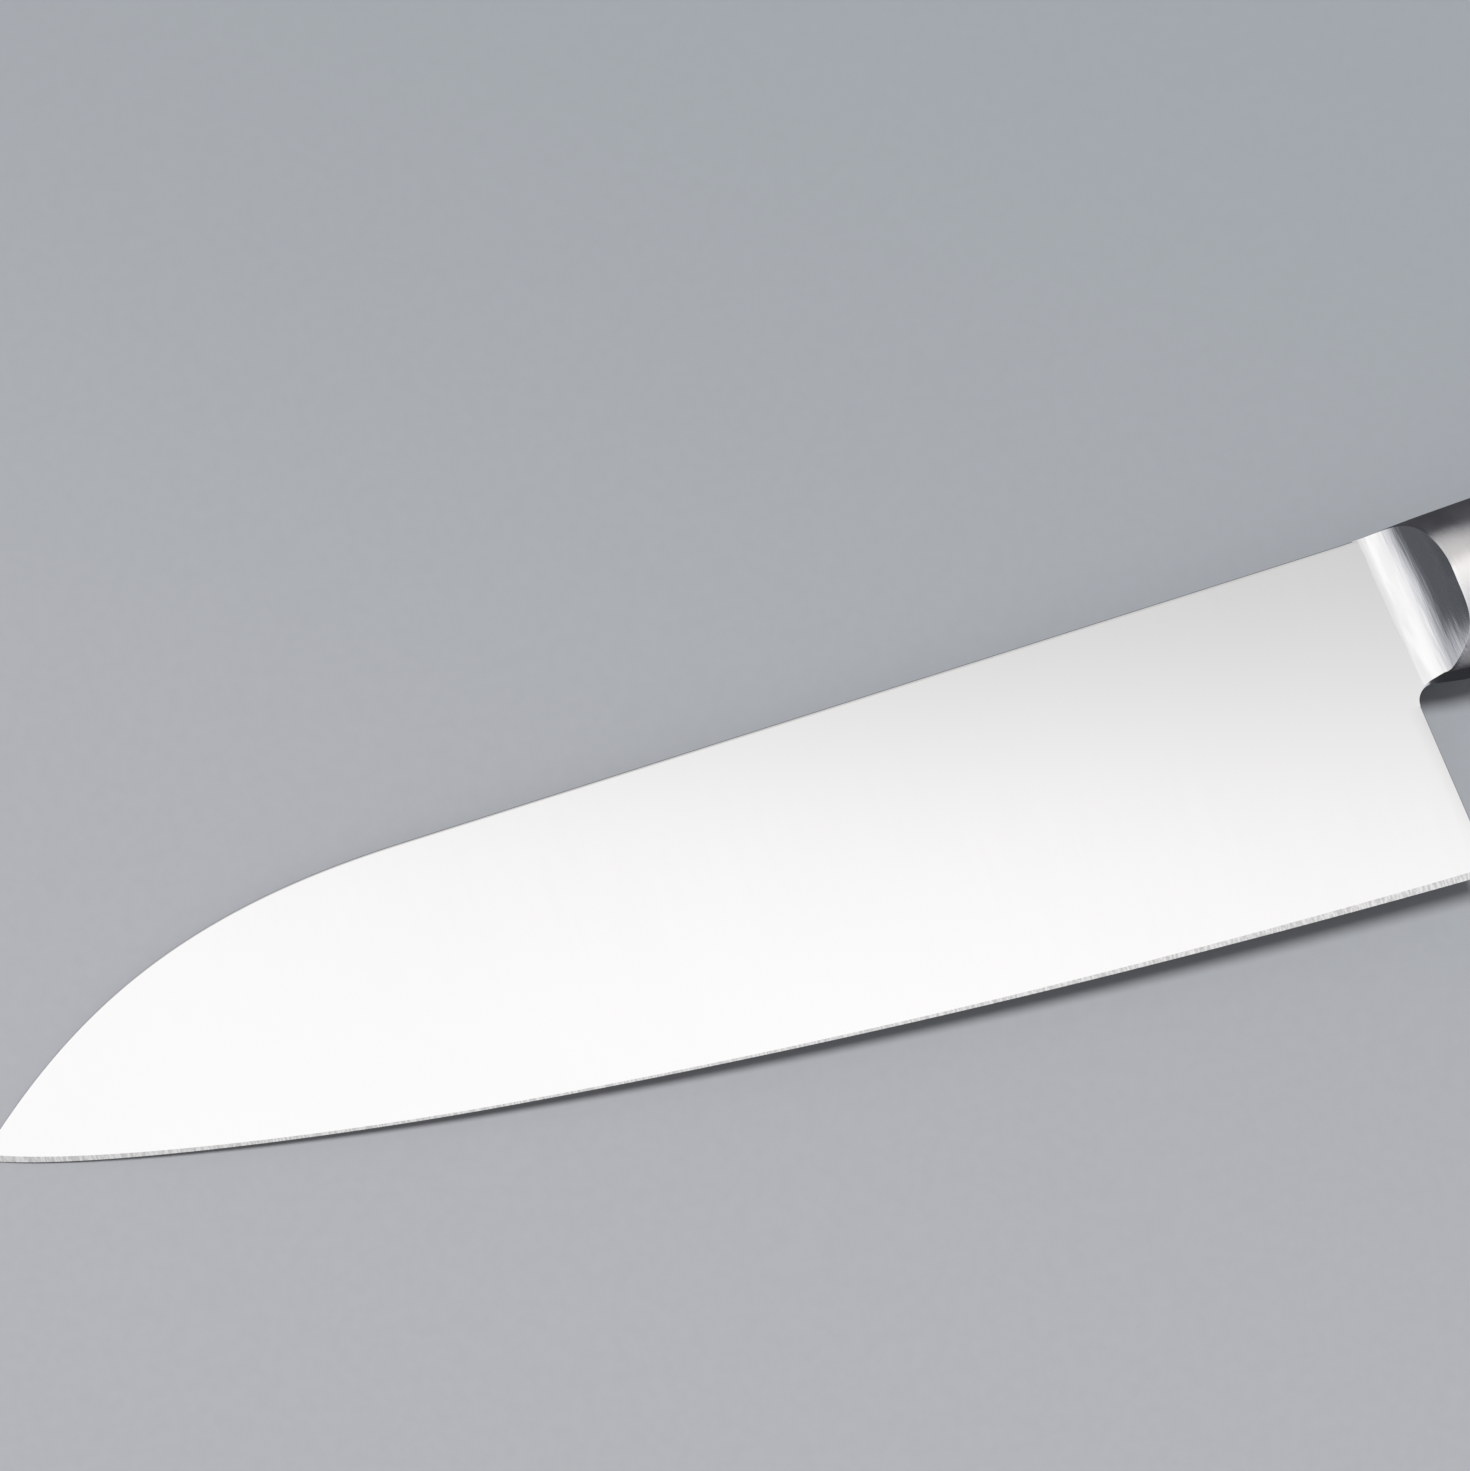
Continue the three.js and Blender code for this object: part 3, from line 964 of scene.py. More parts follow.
def rows_round(shoulder_rows: int) -> list[tuple[int, float]]:
    """The rows round a cheek or a scale from its top to its bottom.

    Args:
        shoulder_rows: Number of steps round each shoulder.

    Returns:
        The sign and angle of each row, as a section's ring_point takes them.
    """
    angles = [0.0, *spread(0.0, math.pi / 2, shoulder_rows)]
    return [*((1, angle) for angle in angles), *((-1, angle) for angle in reversed(angles))]


def extruded(mesh: BMesh, edges: list[BMEdge]) -> tuple[list[BMVert], list[BMEdge]]:
    """Extrudes edges without moving them.

    Args:
        mesh: The mesh that holds the edges.
        edges: The edges.

    Returns:
        The new corners and the new edges.
    """
    new = bmesh.ops.extrude_edge_only(mesh, edges=edges)["geom"]
    corners = [item for item in new if isinstance(item, BMVert)]
    return corners, [item for item in new if isinstance(item, BMEdge)]


def merge(mesh: BMesh) -> None:
    """Joins corners that lie on each other and drops faces without an area."""
    bmesh.ops.remove_doubles(mesh, verts=mesh.verts, dist=MERGE)
    bmesh.ops.dissolve_degenerate(mesh, edges=mesh.edges, dist=MERGE)


def close_down(mesh: BMesh, base: Callable[[float, float], float]) -> None:
    """Closes a shell by walls from its rim down to its bed, and a face across the bed.

    Args:
        mesh: A shell with one open rim.
        base: Height of the bed at x and y.
    """
    lower, _ = extruded(mesh, [edge for edge in mesh.edges if edge.is_boundary])
    for vert in lower:
        vert.co.z = base(vert.co.x, vert.co.y)
    merge(mesh)
    bmesh.ops.holes_fill(mesh, edges=[edge for edge in mesh.edges if edge.is_boundary], sides=0)
    bmesh.ops.recalc_face_normals(mesh, faces=mesh.faces)


def ease(mesh: BMesh, edges: list[BMEdge], width: float) -> None:
    """Rounds sharp edges off.

    Args:
        mesh: The mesh that holds the edges.
        edges: Edges to round, of which some may be gone.
        width: Width of the rounding, in millimetres.
    """
    bmesh.ops.bevel(
        mesh, geom=[edge for edge in edges if edge.is_valid], offset=width, offset_type="OFFSET",
        segments=EASE_STEPS, profile=0.5, affect="EDGES", material=-1, clamp_overlap=True,
    )


def add_turned(mesh: BMesh, outline: Outline, place: Pair, steps: int) -> None:
    """Turns an outline on an upright axis into a solid.

    Args:
        mesh: Mesh that gets the solid.
        outline: Radii and heights, from one end of the axis to the other.
        place: The x and y of the axis.
        steps: Number of facets.
    """
    x, y = place
    chain = [mesh.verts.new((x + radius, y, z)) for radius, z in outline]
    edges = [mesh.edges.new(pair) for pair in zip(chain, chain[1:])]
    bmesh.ops.spin(
        mesh, geom=[*chain, *edges], cent=(x, y, 0.0), axis=(0.0, 0.0, 1.0), angle=2 * math.pi, steps=steps,
        use_merge=True,
    )
    bmesh.ops.remove_doubles(mesh, verts=mesh.verts, dist=MERGE)
    bmesh.ops.recalc_face_normals(mesh, faces=mesh.faces)


def put_on_side(mesh: BMesh, side: Side, sharp_angle: float) -> None:
    """Puts a piece drawn on the left onto its own side, faces it outwards and marks its crisp edges.

    Args:
        mesh: The piece, changed in place.
        side: The side that it belongs on.
        sharp_angle: Degrees between two faces from which their edge stays crisp.
    """
    bmesh.ops.scale(mesh, vec=(1.0, 1.0, float(side.value)), verts=mesh.verts)
    bmesh.ops.recalc_face_normals(mesh, faces=mesh.faces)
    for edge in mesh.edges:
        edge.smooth = edge.calc_face_angle(0.0) < math.radians(sharp_angle)


def place_piece(mesh: BMesh, name: str, node: str, materials: list[Material]) -> Object:
    """Sets a finished mesh into the frame as a piece that stands for a node.

    Args:
        mesh: The mesh in millimetres; it is used up.
        name: Name of the piece.
        node: The node that it stands for.
        materials: The piece's finishes, in the order of its faces' numbers.

    Returns:
        The new object.
    """
    bmesh.ops.transform(mesh, matrix=into_frame(), verts=mesh.verts)
    for polygon in mesh.faces:
        polygon.smooth = True
    data = bpy.data.meshes.new(name)
    mesh.to_mesh(data)
    mesh.free()
    piece = bpy.data.objects.new(name, data)
    bpy.context.scene.collection.objects.link(piece)
    for material in materials:
        data.materials.append(material)
    normals = piece.modifiers.new("flat faces stay flat", "WEIGHTED_NORMAL")
    normals.keep_sharp = True
    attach(piece, BODY)
    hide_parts(node)
    LOG.info("%s: %d faces, stands for %s", name, len(data.polygons), node)
    return piece


@dataclass
class Blade:
    """The blank: flat-ground blade, eased spine, edge bevel, choil and full tang."""

    face_finish: Material
    edge_finish: Material
    columns: int = 150
    tip_crowding: float = 1.4
    spine_ease: float = 0.08
    # Near the tip the eased spine takes no more than these shares of the half thickness and the depth.
    spine_ease_of_face: float = 0.6
    spine_ease_of_depth: float = 0.15
    spine_steps: int = 4
    # A row this close under the eased spine keeps the face's shading flat.
    support_share: float = 0.005
    upper_rows: int = 10
    lower_rows: int = 10
    # Near the tip the bevel takes no more than this share of the depth.
    bevel_of_depth: float = 0.45
    # Rounds that settle where the bevel meets the sloping face.
    bevel_rounds: int = 4
    heel_ease: float = 0.14
    tang_ease: float = 0.08
    choil_steps: int = 10
    tang_steps: int = 60
    butt_steps: int = 18
    chamfer_slope: float = 0.8
    sharp_angle: float = 30.0

    def rows(self) -> list[tuple[RowZone, float]]:
        """The rows from the spine's middle to the edge's middle.

        Returns:
            The zone of each row and its share of that zone, with -1 for the spine's middle.
        """
        choil, support = self.choil_share(), self.support_share
        upper = [support, *spread(support, self.under_share(), self.upper_rows)]
        return [
            *((RowZone.SPINE, share) for share in (-1.0, 0.0, *spread(0.0, 1.0, self.spine_steps))),
            *((RowZone.FACE, share) for share in upper),
            (RowZone.UNDER, choil),
            *((RowZone.FACE, share) for share in spread(choil, 1.0, self.lower_rows)),
            (RowZone.EDGE, 0.0),
            (RowZone.EDGE, 1.0),
        ]

    def under_share(self) -> float:
        """Share of the heel line at which the chamfer of the underside starts behind it."""
        return self.choil_share() * (1 - LINES.relief_undercut / LINES.choil_depth)

    def choil_share(self) -> float:
        """Finds where the choil's arc starts on the heel line.

        Returns:
            The share of the line, below its eased spine.
        """
        top, bottom = self.ends(self.columns)
        arc = LINES.choil[1] - LINES.choil_radius * math.sin(math.radians(LINES.heel_lean))
        span = (bottom - top).length
        length = span - self.spine_ease - self.bevel_width(bottom)
        return ((top.y - arc) / (top.y - bottom.y) * span - self.spine_ease) / length

    def ends(self, column: int) -> tuple[Vector, Vector]:
        """Where a column meets the spine and the edge; the last one lies on the heel line.

        Args:
            column: Number of the column from the tip.

        Returns:
            Its two ends.
        """
        share = (column / self.columns) ** self.tip_crowding
        top_x, bottom_x = share * LINES.heel(0.0), share * LINES.blade_length
        return Vector((top_x, LINES.spine(top_x))), Vector((bottom_x, LINES.edge(bottom_x)))

    def bevel_width(self, edge: Vector) -> float:
        """Width of the edge bevel, which ends where it meets the flat-ground face.

        Args:
            edge: A point of the edge.

        Returns:
            The width there.
        """
        slope = math.tan(math.radians(LINES.bevel_angle))
        width = 0.0
        for _ in range(self.bevel_rounds):
            width = (LINES.face(edge.x, edge.y + width) - LINES.half_edge) / slope
        return width

    def row_point(
        self, top: Vector, bottom: Vector, row: tuple[RowZone, float], rounding: float, bevel: float
    ) -> Vector:
        """A corner of the blade's mesh on one column.

        Args:
            top: Where the column meets the spine.
            bottom: Where it meets the edge, or the underside of the tang.
            row: Zone and share of the row.
            rounding: Radius of the eased spine.
            bevel: Width of the edge bevel, or of the underside's chamfer.

        Returns:
            The corner's place.
        """
        zone, share = row
        span = bottom - top
        width = max(span.length, MERGE)
        sunk = 0.0
        if zone is RowZone.SPINE and share < 0:
            return Vector((top.x, top.y, 0.0))
        if zone is RowZone.EDGE:
            return Vector((bottom.x, bottom.y, LINES.half_edge * (1 - share)))
        if zone is RowZone.SPINE:
            distance = rounding * (1 - math.cos(share * math.pi / 2))
            sunk = rounding * (1 - math.sin(share * math.pi / 2))
        else:
            distance = rounding + share * (width - rounding - bevel)
        spot = top + span * (distance / width)
        return Vector((spot.x, spot.y, LINES.blank(spot.x, spot.y) - sunk))

    def build(self) -> Object:
        """Models the blank and sets it into the frame.

        Returns:
            The new piece.
        """
        rows = self.rows()
        # The bevel starts at the last row of the face.
        shoulder = max(i for i, (zone, _) in enumerate(rows) if zone is RowZone.FACE)

        def corner(column: int, row: int) -> Vector:
            """A corner of the blade's left half.

            Args:
                column: Its column, from the tip to the heel.
                row: Its row, from the spine to the edge.

            Returns:
                Its place.
            """
            top, bottom = self.ends(column)
            if column == 0:
                return Vector((top.x, top.y, 0.0))
            span = (bottom - top).length
            most = min(self.spine_ease_of_face * LINES.face(top.x, top.y), self.spine_ease_of_depth * span)
            bevel = min(self.bevel_width(bottom), self.bevel_of_depth * span)
            return self.row_point(top, bottom, rows[row], min(self.spine_ease, most), bevel)

        mesh, corners = grid_of(self.columns, len(rows) - 1, corner, {"row": lambda column, row: float(row)})
        number = mesh.verts.layers.float["row"]
        self.add_tang(mesh, corners, number)
        for polygon in mesh.faces:
            polygon.material_index = int(min(vert[number] for vert in polygon.verts) >= shoulder)
        self.close_rim(mesh, number, shoulder)
        bmesh.ops.mirror(mesh, geom=[*mesh.verts, *mesh.edges, *mesh.faces], axis="Z", merge_dist=MERGE)
        merge(mesh)
        bmesh.ops.recalc_face_normals(mesh, faces=mesh.faces)
        for edge in mesh.edges:
            on_shoulder = len({polygon.material_index for polygon in edge.link_faces}) > 1
            edge.smooth = not on_shoulder and edge.calc_face_angle(0.0) < math.radians(self.sharp_angle)
        finishes = [self.face_finish, self.edge_finish]
        return place_piece(mesh, "ground_blade", "blade", finishes)

    def add_tang(self, mesh: BMesh, corners: Corners, number: BMLayerItem) -> None:
        """Draws the upper part of the heel line back round the choil and along the handle.

        Args:
            mesh: The blade's mesh.
            corners: Its corners by column and row.
            number: The layer that holds each corner's row.
        """
        rows, under_share = self.rows(), self.under_share()
        last = next(i for i, (zone, _) in enumerate(rows) if zone is RowZone.UNDER)
        edges = column_edges(mesh, corners, self.columns)[:last]
        for top, bottom in self.tang_columns():
            chamfer = LINES.undercut(bottom.x)
            moved, edges = extruded(mesh, edges)
            for vert in moved:
                zone, share = rows[round(vert[number])]
                if zone is RowZone.UNDER:
                    vert.co = Vector((*bottom, LINES.blank(*bottom) - self.chamfer_slope * chamfer))
                else:
                    row = (zone, share / under_share if zone is RowZone.FACE else share)
                    vert.co = self.row_point(top, bottom, row, self.tang_ease, chamfer)

    def tang_columns(self) -> list[tuple[Vector, Vector]]:
        """The columns of the tang: round the choil, along the handle and round the butt.

        Returns:
            Top and bottom of each column.
        """
        columns = []
        start, (centre_x, centre_y) = LINES.heel(0.0), LINES.choil
        angles = spread(math.pi + math.radians(LINES.heel_lean), math.pi / 2, self.choil_steps)
        for angle, top_x in zip(angles, spread(start, centre_x, self.choil_steps)):
            arc = Vector((math.cos(angle), math.sin(angle))) * LINES.choil_radius
            columns.append((Vector((top_x, LINES.spine(top_x))), Vector((centre_x, centre_y)) + arc))
        along = spread(centre_x, LINES.butt_start, self.tang_steps)
        for x in (*along, *LINES.butt_stations(self.butt_steps)):
            shape = LINES.section(x)
            columns.append((Vector((x, shape.middle + shape.half)), Vector((x, shape.middle - shape.half))))
        return columns

    def close_rim(self, mesh: BMesh, number: BMLayerItem, shoulder: int) -> None:
        """Walls the heel, the choil and the tang's underside down to the middle plane, and eases the heel.

        Args:
            mesh: The left half of the blank.
            number: The layer that holds each corner's row.
            shoulder: Row where the edge bevel starts.
        """
        bmesh.ops.remove_doubles(mesh, verts=mesh.verts, dist=MERGE)
        # The part of the rim that doesn't lie on the middle plane yet.
        rim = [
            edge for edge in mesh.edges
            if edge.is_boundary and max(vert.co.z for vert in edge.verts) > LINES.half_edge / 2
        ]
        for vert in extruded(mesh, rim)[0]:
            vert.co.z = 0.0
        bmesh.ops.remove_doubles(mesh, verts=mesh.verts, dist=MERGE)
        # The heel, where the blank is thick enough to be eased.
        eased = [
            edge for edge in rim
            if edge.is_valid and max(vert[number] for vert in edge.verts) < shoulder
            and min(vert.co.z for vert in edge.verts) > 2 * self.heel_ease
            and all(vert.co.y < LINES.choil[1] for vert in edge.verts)
        ]
        ease(mesh, eased, self.heel_ease)


@dataclass
class BolsterCheek:
    """One welded cheek: an oval barrel with a hollow front that sweeps down to the blade's face."""

    side: Side
    finish: Material
    shoulder_rows: int = 28
    sweep_columns: int = 24
    barrel_columns: int = 24
    # The thin start of the hollow front is sunk this far into the face.
    feather: float = 0.004
    # The wheel's streaks come in over this share of the hollow front.
    streak_lead: float = 1 / 3
    # The crisp line is eased from this depth on down.
    line_ease: float = 0.25
    ease_depth: float = 5.0
    rear_ease: float = 0.15
    sharp_angle: float = 40.0

    def ring_point(self, x: float, turn: tuple[int, float]) -> Vector:
        """A point of the barrel on one row."""
        y, z = LINES.section(x).ring_point(*turn, LINES.half_stock + HIDDEN_GAP)
        return Vector((x, y, z))

    def sweep_end(self, turn: tuple[int, float]) -> float:
        """Finds where the hollow front meets the barrel on one row.

        Args:
            turn: Sign and angle of the row.

        Returns:
            The x there.
        """

        def in_front(x: float) -> bool:
            """Tells whether the barrel still stands over the hollow front.

            Args:
                x: Where it is tested.

            Returns:
                True before the two meet.
            """
            point = self.ring_point(x, turn)
            upright = LINES.sweep_start(point.y) + LINES.sweep_run(point.y)
            return point.z > LINES.sweep(x, point.y) and x < upright

        return halved(LINES.bolster_front, LINES.bolster_rear, in_front)

    def build(self) -> Object:
        """Models the cheek and sets it into the frame.

        Returns:
            The new piece.
        """
        turns = rows_round(self.shoulder_rows)
        ends = [self.sweep_end(turn) for turn in turns]
        columns = self.sweep_columns + self.barrel_columns

        def corner(column: int, row: int) -> Vector:
            """A corner of the cheek's outer surface.

            Args:
                column: Its column, along the hollow front and then along the barrel.
                row: Its row, from the top to the bottom.

            Returns:
                Its place.
            """
            turn, end = turns[row], ends[row]
            if column > self.sweep_columns:
                share = (column - self.sweep_columns) / self.barrel_columns
                return self.ring_point(end + (LINES.bolster_rear - end) * share, turn)
            share = column / self.sweep_columns
            end_y = self.ring_point(end, turn).y
            start, run, power = LINES.sweep_start(end_y), LINES.sweep_run(end_y), LINES.sweep_ease / 2
            reach = unit((end - start) / run)
            x = start + run * math.sin(math.asin(reach**power) * share) ** (1 / power)
            y = self.ring_point(x, turn).y
            return Vector((x, y, LINES.sweep(x, y) - self.feather * (1 - share)))

        marks = {
            "barrel": lambda column, row: float(column > self.sweep_columns),
            "ground": lambda column, row: unit(column / (self.sweep_columns * self.streak_lead)),
        }
        mesh, corners = grid_of(columns, len(turns) - 1, corner, marks)
        line = column_edges(mesh, corners, self.sweep_columns)
        rear = column_edges(mesh, corners, columns)
        low_line = [edge for edge in line if max(vert.co.y for vert in edge.verts) < -self.ease_depth]
        ease(mesh, low_line, self.line_ease)
        close_down(mesh, lambda x, y: min(LINES.face(x, y), LINES.half_stock) - HIDDEN_GAP)
        ease(mesh, rear, self.rear_ease)
        put_on_side(mesh, self.side, self.sharp_angle)
        name = self.side.name.lower()
        return place_piece(mesh, f"{name}_bolster_cheek", f"bolster_{name}", [self.finish])


@dataclass
class Rivet:
    """One two-piece cutler's rivet: a pin from the left in a sleeve from the right, ground flush."""

    spot: RivetPlace
    finish: Material
    head_diameter: float = 7.0
    seat: float = 5.2
    sleeve_diameter: float = 4.8
    sleeve_bore: float = 3.3
    pin_diameter: float = 3.1
    end_gap: float = 0.5
    gap: float = 0.1
    chamfer: float = 0.12
    steps: int = 64
    head_rings: int = 4
    sharp_angle: float = 30.0

    @property
    def place(self) -> Pair:
        """The x and y of the rivet's axis."""
        x = LINES.bolster_rear + self.spot.value
        return x, LINES.section(x).middle

    def head(self, under: float, top: float) -> Outline:
        """Outline of a head, from its middle to its underside.

        Args:
            under: Height of its underside.
            top: Height of its face.

        Returns:
            Radii and heights.
        """
        radius = self.head_diameter / 2
        rings = [0.0, *spread(0.0, radius - self.chamfer, self.head_rings)]
        return [*((ring, top) for ring in rings), (radius, top - self.chamfer), (radius, under)]

    def build(self) -> list[Object]:
        """Models both halves and sets them into the frame.

        Returns:
            The pin and the sleeve.
        """
        top = LINES.section(self.place[0]).side
        seat = LINES.half_stock + self.seat
        under, end = seat + self.gap, self.end_gap - seat
        pin, bore, tube = self.pin_diameter / 2, self.sleeve_bore / 2, self.sleeve_diameter / 2
        head = self.head(under, top)
        pin_outline = [*head, (pin, under), (pin, end), (0.0, end)]
        sleeve_outline = [*head, (tube, under), (tube, end), (bore, end), (bore, under), (0.0, under)]
        return [
            self.build_half(RivetHalf.PIN, pin_outline, top),
            self.build_half(RivetHalf.SLEEVE, sleeve_outline, top),
        ]

    def build_half(self, half: RivetHalf, outline: Outline, top: float) -> Object:
        """Turns one half on its axis and lets its head follow the handle's surface.

        Args:
            half: Which half it is.
            outline: Radii and heights, from the middle of the head to the other end.
            top: Height of the head in the outline.

        Returns:
            The new piece.
        """
        mesh = bmesh.new()
        add_turned(mesh, outline, self.place, self.steps)
        # Only the head's face and its chamfer follow that surface.
        for vert in mesh.verts:
            if vert.co.z > top - 2 * self.chamfer:
                vert.co.z += LINES.section(vert.co.x).skin(vert.co.y, LINES.half_stock) - top
        put_on_side(mesh, half.value, self.sharp_angle)
        spot, kind = self.spot.name.lower(), half.name.lower()
        piece, node = f"{spot}_rivet_{kind}", f"rivet_{spot}_{kind}"
        return place_piece(mesh, piece, node, [self.finish])


@dataclass
class Scale:
    """One handle scale, bedded on the tang and bored for the rivets."""

    side: Side
    finish: Material
    rivets: list[Rivet]
    shoulder_rows: int = 24
    columns: int = 110
    butt_columns: int = 26
    front_ease: float = 0.18
    hole_steps: int = 64
    sharp_angle: float = 40.0

    def build(self) -> Object:
        """Models the scale and sets it into the frame.

        Returns:
            The new piece.
        """
        turns = rows_round(self.shoulder_rows)
        front = LINES.bolster_rear + LINES.scale_gap
        base = LINES.half_stock + HIDDEN_GAP
        along = spread(front, LINES.butt_start, self.columns)
        stations = [front, *along, *LINES.butt_stations(self.butt_columns)]

        def corner(column: int, row: int) -> Vector:
            """A corner of the scale's outer surface.

            Args:
                column: Its column, from the bolster to the butt.
                row: Its row, from the top to the bottom.

            Returns:
                Its place.
            """
            x = stations[column]
            y, z = LINES.section(x).ring_point(*turns[row], base)
            return Vector((x, y, max(z, base)))

        mesh, corners = grid_of(len(stations) - 1, len(turns) - 1, corner, {})
        rim = column_edges(mesh, corners, 0)
        close_down(mesh, lambda x, y: base)
        ease(mesh, rim, self.front_ease)
        self.bore(mesh)
        put_on_side(mesh, self.side, self.sharp_angle)
        name = self.side.name.lower()
        return place_piece(mesh, f"{name}_scale", f"scale_{name}", [self.finish])

    def bore(self, mesh: BMesh) -> None:
        """Bores the rivets' stepped holes through the scale.

        Args:
            mesh: The scale as a closed mesh, changed in place.
        """
        cutter = bmesh.new()
        deep = LINES.palm_width
        for rivet in self.rivets:
            seat = LINES.half_stock + rivet.seat
            tube, head = rivet.sleeve_diameter / 2 + rivet.gap, rivet.head_diameter / 2 + rivet.gap
            outline = [(0.0, -deep), (tube, -deep), (tube, seat), (head, seat), (head, deep), (0.0, deep)]
            add_turned(cutter, outline, rivet.place, self.hole_steps)
        whole, tool = [bpy.data.objects.new(word, bpy.data.meshes.new(word)) for word in ("whole", "tool")]
        mesh.to_mesh(whole.data)
        cutter.to_mesh(tool.data)
        cutter.free()
        for item in (whole, tool):
            bpy.context.scene.collection.objects.link(item)
        cut = whole.modifiers.new("holes", "BOOLEAN")
        cut.operation = "DIFFERENCE"
        cut.solver = "EXACT"
        cut.object = tool
        result = bpy.data.meshes.new_from_object(whole.evaluated_get(bpy.context.evaluated_depsgraph_get()))
        mesh.clear()
        mesh.from_mesh(result)
        for item in (whole, tool):
            bpy.data.objects.remove(item)
        bpy.data.meshes.remove(result)


@dataclass
class Studio:
    """The table under the knife, the light over it and the camera above, in millimetres and degrees."""

    paper: PaperFloor
    # Camera: its place, its turn in the picture, its lens and its tilt.
    camera_place: Triple = (122.75, 0.2, 570.3)
    turn: float = 17.553
    lens: float = 120.0
    sensor: float = 36.0
    view_tilt: float = 2.34
    # Table: the sheet of paper, the slant of its painted shade, and where the right scale rests on it behind
    # the bolster.
    floor_size: float = 4000.0
    floor_steps: int = 8
    painted_falloff_slant: float = 0.3
    rest_station: float = 25.0
    # Lamp that makes the shadow, and the even fill.
    key_lean_right: float = 4.4
    key_lean_up: float = 21.0
    key_spread: float = 15.0
    key_strength: float = 2.1
    ambient: float = 0.24
    backdrop: float = 0.45
    # What the polish mirrors: strengths, and from where to where each one changes along its direction.
    dome: float = 1.49
    dim: float = 0.155
    dome_edge: Pair = (0.5, 1.0)
    dome_colour: str = "#FFFFFF"
    far_colour: str = "#ECF1FF"
    card_edge: Pair = (-0.096, -0.026)
    card_shade: float = 0.57
    front_edge: Pair = (-0.8, -0.65)
    front_shade: float = 0.3
    panel: float = 0.7
    panel_edge: Pair = (0.75, 0.98)
    panel_turn: float = -45.0

    def tilt(self) -> float:
        """Slope of the table against the blade: the knife rests on its tip and the right scale's belly."""
        x = LINES.bolster_rear + self.rest_station
        return math.atan2(LINES.section(x).side - LINES.half_tip, x)

    def axes(self) -> tuple[Vector, Vector, Vector]:
        """The picture's directions in the frame.

        Returns:
            Right and up in the picture, and out of it to the camera.
        """
        tilted = Matrix.Rotation(math.radians(self.view_tilt), 3, "Y")
        turned = Matrix.Rotation(-math.radians(self.turn), 3, "Z")
        table = tilted @ turned
        return table.col[0].copy(), table.col[1].copy(), table.col[2].copy()

    def build(self) -> None:
        """Makes the floor, the light and the camera."""
        self.add_floor()
        self.add_key()
        self.add_world()
        self.add_camera()

    def add_floor(self) -> None:
        """Lays the paper under the tip and the handle."""
        right, up, out = self.axes()
        view = into_frame() @ Vector(self.camera_place)
        middle = view - out * self.camera_place[2] * MM
        steps = self.floor_steps
        mesh = bmesh.new()
        bmesh.ops.create_grid(mesh, x_segments=steps, y_segments=steps, size=self.floor_size / 2)
        turned = Matrix.Rotation(self.tilt(), 4, "Y")
        tip = Vector((0.0, -LINES.tip_depth, -LINES.half_tip))
        bmesh.ops.transform(mesh, matrix=into_frame() @ Matrix.Translation(tip) @ turned, verts=mesh.verts)
        data = bpy.data.meshes.new("paper_floor")
        mesh.to_mesh(data)
        mesh.free()
        # The paper gets painted shade that darkens it towards the far side of the picture.
        data.materials.append(self.paper.build(middle, (up + self.painted_falloff_slant * right).normalized()))
        floor = bpy.data.objects.new("paper_floor", data)
        bpy.context.scene.collection.objects.link(floor)
        floor.visible_glossy = False

    def add_key(self) -> None:
        """Hangs a far, broad lamp over the far side of the table; it makes shadows and no reflection."""
        right, up, out = self.axes()
        to_right, to_up = [math.tan(math.radians(lean)) for lean in (self.key_lean_right, self.key_lean_up)]
        direction = (out + right * to_right + up * to_up).normalized()
        data = bpy.data.lights.new("key_lamp", "SUN")
        data.angle = math.radians(self.key_spread)
        data.energy = self.key_strength
        lamp = bpy.data.objects.new("key_lamp", data)
        lamp.rotation_mode = "QUATERNION"
        lamp.rotation_quaternion = direction.to_track_quat("Z", "Y")
        lamp.visible_camera = False
        lamp.visible_glossy = False
        bpy.context.scene.collection.objects.link(lamp)

    def add_world(self) -> None:
        """Surrounds the table with what the polish mirrors, and with a soft even fill for the rest."""
        _, up, out = self.axes()
        world = bpy.data.worlds.new("studio")
        bpy.context.scene.world = world
        world.use_nodes = True
        tree = world.node_tree
        look = add_node(tree, [], "ShaderNodeTexCoord", "Generated")
        camera_ray, mirror_ray = [
            add_node(tree, [], "ShaderNodeLightPath", name) for name in ("Is Camera Ray", "Is Glossy Ray")
        ]
        along, height = [add_node(tree, [look, axis], **DOT) for axis in (up, out)]
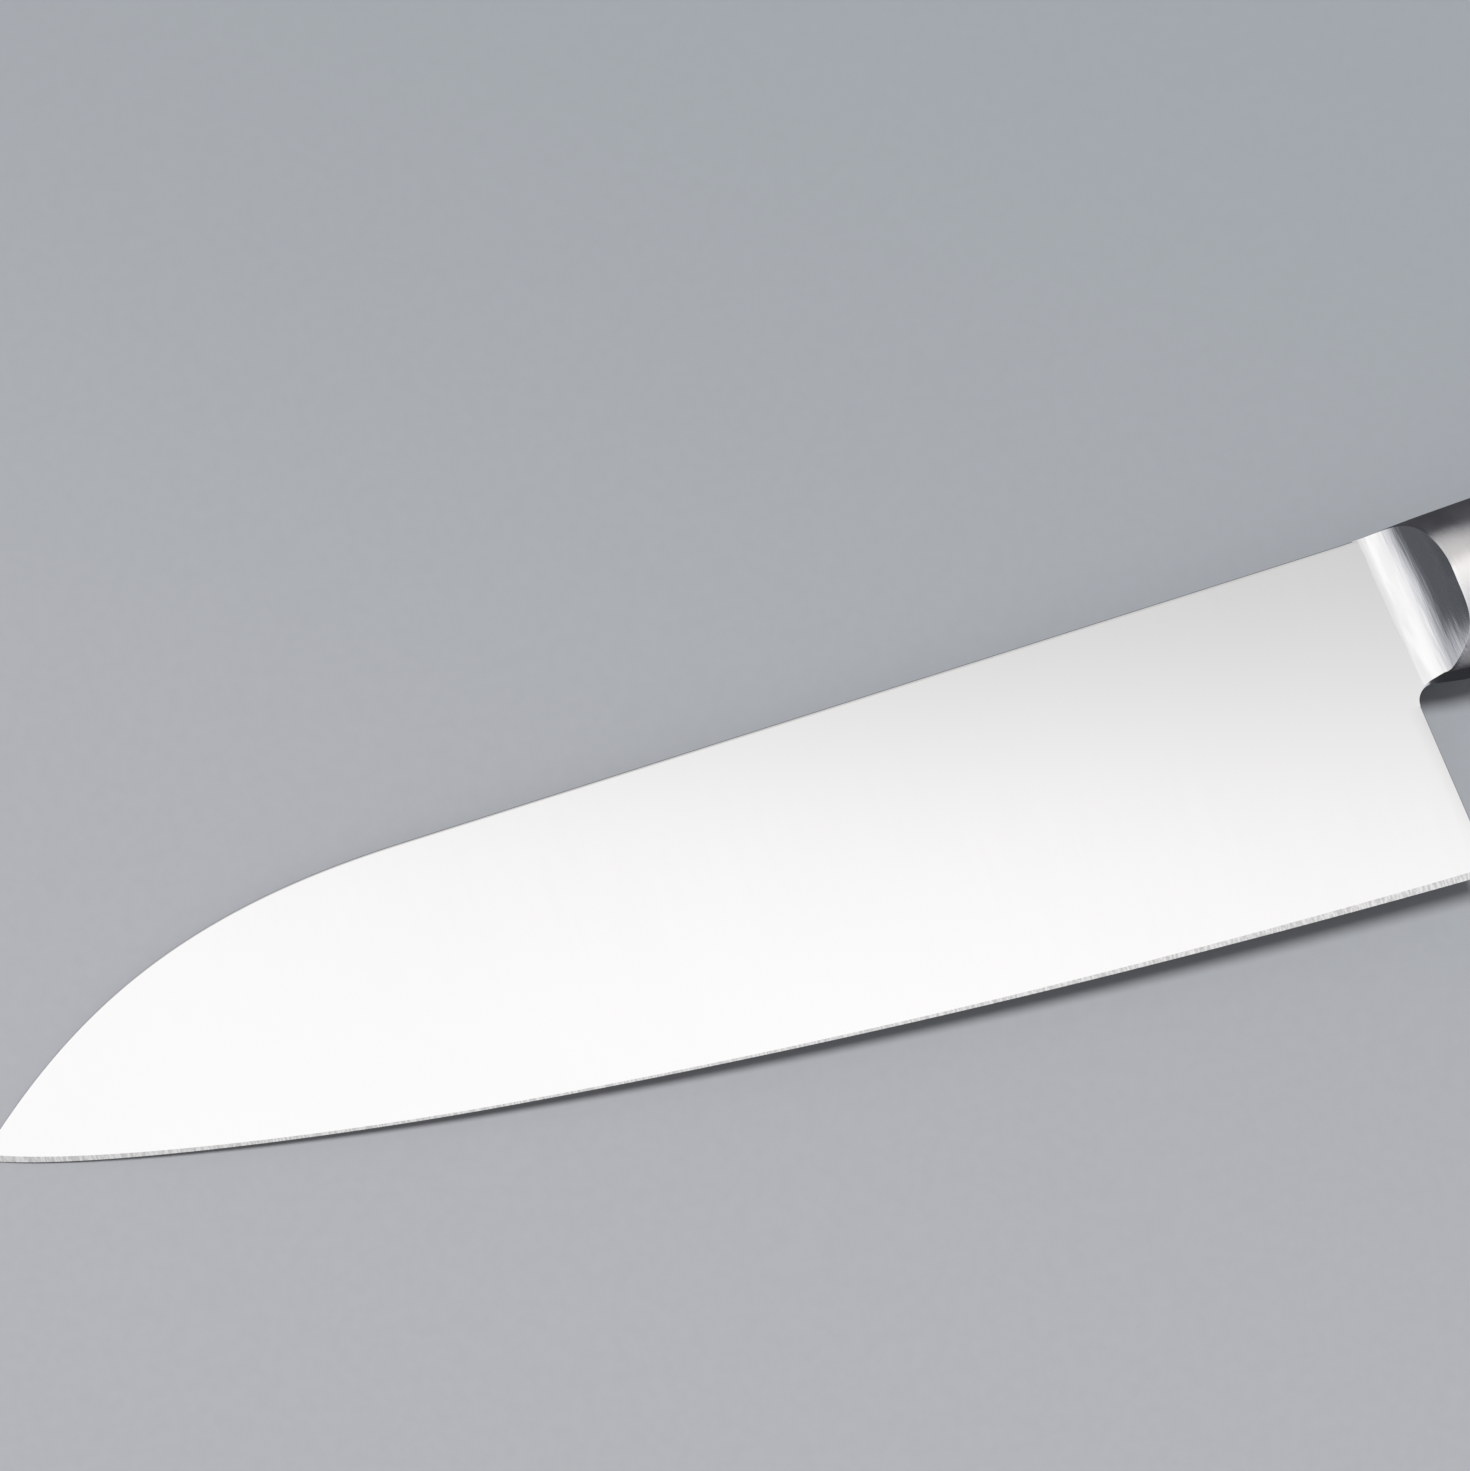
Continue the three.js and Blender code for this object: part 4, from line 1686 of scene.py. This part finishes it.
        # A white diffuser overhead that dims towards the horizon, with a grey card and a dark room in front.
        dome = add_node(tree, [height, *self.dome_edge, self.dim, self.dome], **SMOOTH)
        card = add_node(tree, [along, *self.card_edge, 1.0, self.card_shade], **SMOOTH)
        front = add_node(tree, [along, *self.front_edge, self.front_shade, 1.0], **SMOOTH)
        shade = add_node(tree, [front, card], **TIMES)
        lit = add_node(tree, [dome, shade], **TIMES)
        # Two soft panels at the sides, which the faces mirror from low down.
        turn = math.radians(self.panel_turn)
        across = add_node(tree, [look, (math.cos(turn), math.sin(turn), 0.0)], **DOT)
        aside = add_node(tree, [across], "ShaderNodeMath", operation="ABSOLUTE")
        panels = add_node(tree, [aside, *self.panel_edge, 0.0, self.panel], **SMOOTH)
        mirrored = add_node(tree, [lit, panels], "ShaderNodeMath", operation="ADD")
        plain = add_node(tree, [camera_ray, self.ambient, self.backdrop], "ShaderNodeMix")
        strength = add_node(tree, [mirror_ray, plain, mirrored], "ShaderNodeMix")
        # The mirrored light turns cooler towards the horizon.
        low = add_node(tree, [height, *self.dome_edge, 1.0, 0.0], **SMOOTH)
        cool = add_node(tree, [low, mirror_ray], **TIMES)
        colour = add_node(tree, [cool, linear(self.dome_colour), linear(self.far_colour)], **BLEND)
        set_inputs(tree, tree.nodes["Background"], {"Color": colour, "Strength": strength})

    def add_camera(self) -> None:
        """Sets the camera straight above the table, turned as the picture is."""
        right, up, out = self.axes()
        data = bpy.data.cameras.new("camera")
        data.lens = self.lens
        data.sensor_width = self.sensor
        camera = bpy.data.objects.new("camera", data)
        camera.matrix_world = Matrix((right, up, out)).transposed().to_4x4()
        camera.location = into_frame() @ Vector(self.camera_place)
        bpy.context.scene.collection.objects.link(camera)
        bpy.context.scene.camera = camera


def main() -> None:
    """Builds the studio and the knife's pieces in order."""
    logging.basicConfig(level=logging.INFO, format="%(name)s: %(message)s")
    bpy.context.scene.view_settings.view_transform = "Standard"
    Studio(PaperFloor()).build()
    Blade(SatinBladeSteel().build(), GroundEdgeSteel().build()).build()
    bolster_finish = GroundBolsterSteel().build()
    wood = DyedBirchLaminate().build()
    rivet_finish = FlushRivetSteel().build()
    rivets = [Rivet(spot, rivet_finish) for spot in RivetPlace]
    for side in Side:
        BolsterCheek(side, bolster_finish).build()
        Scale(side, wood, rivets).build()
    for rivet in rivets:
        rivet.build()


if __name__ == "__main__":
    main()
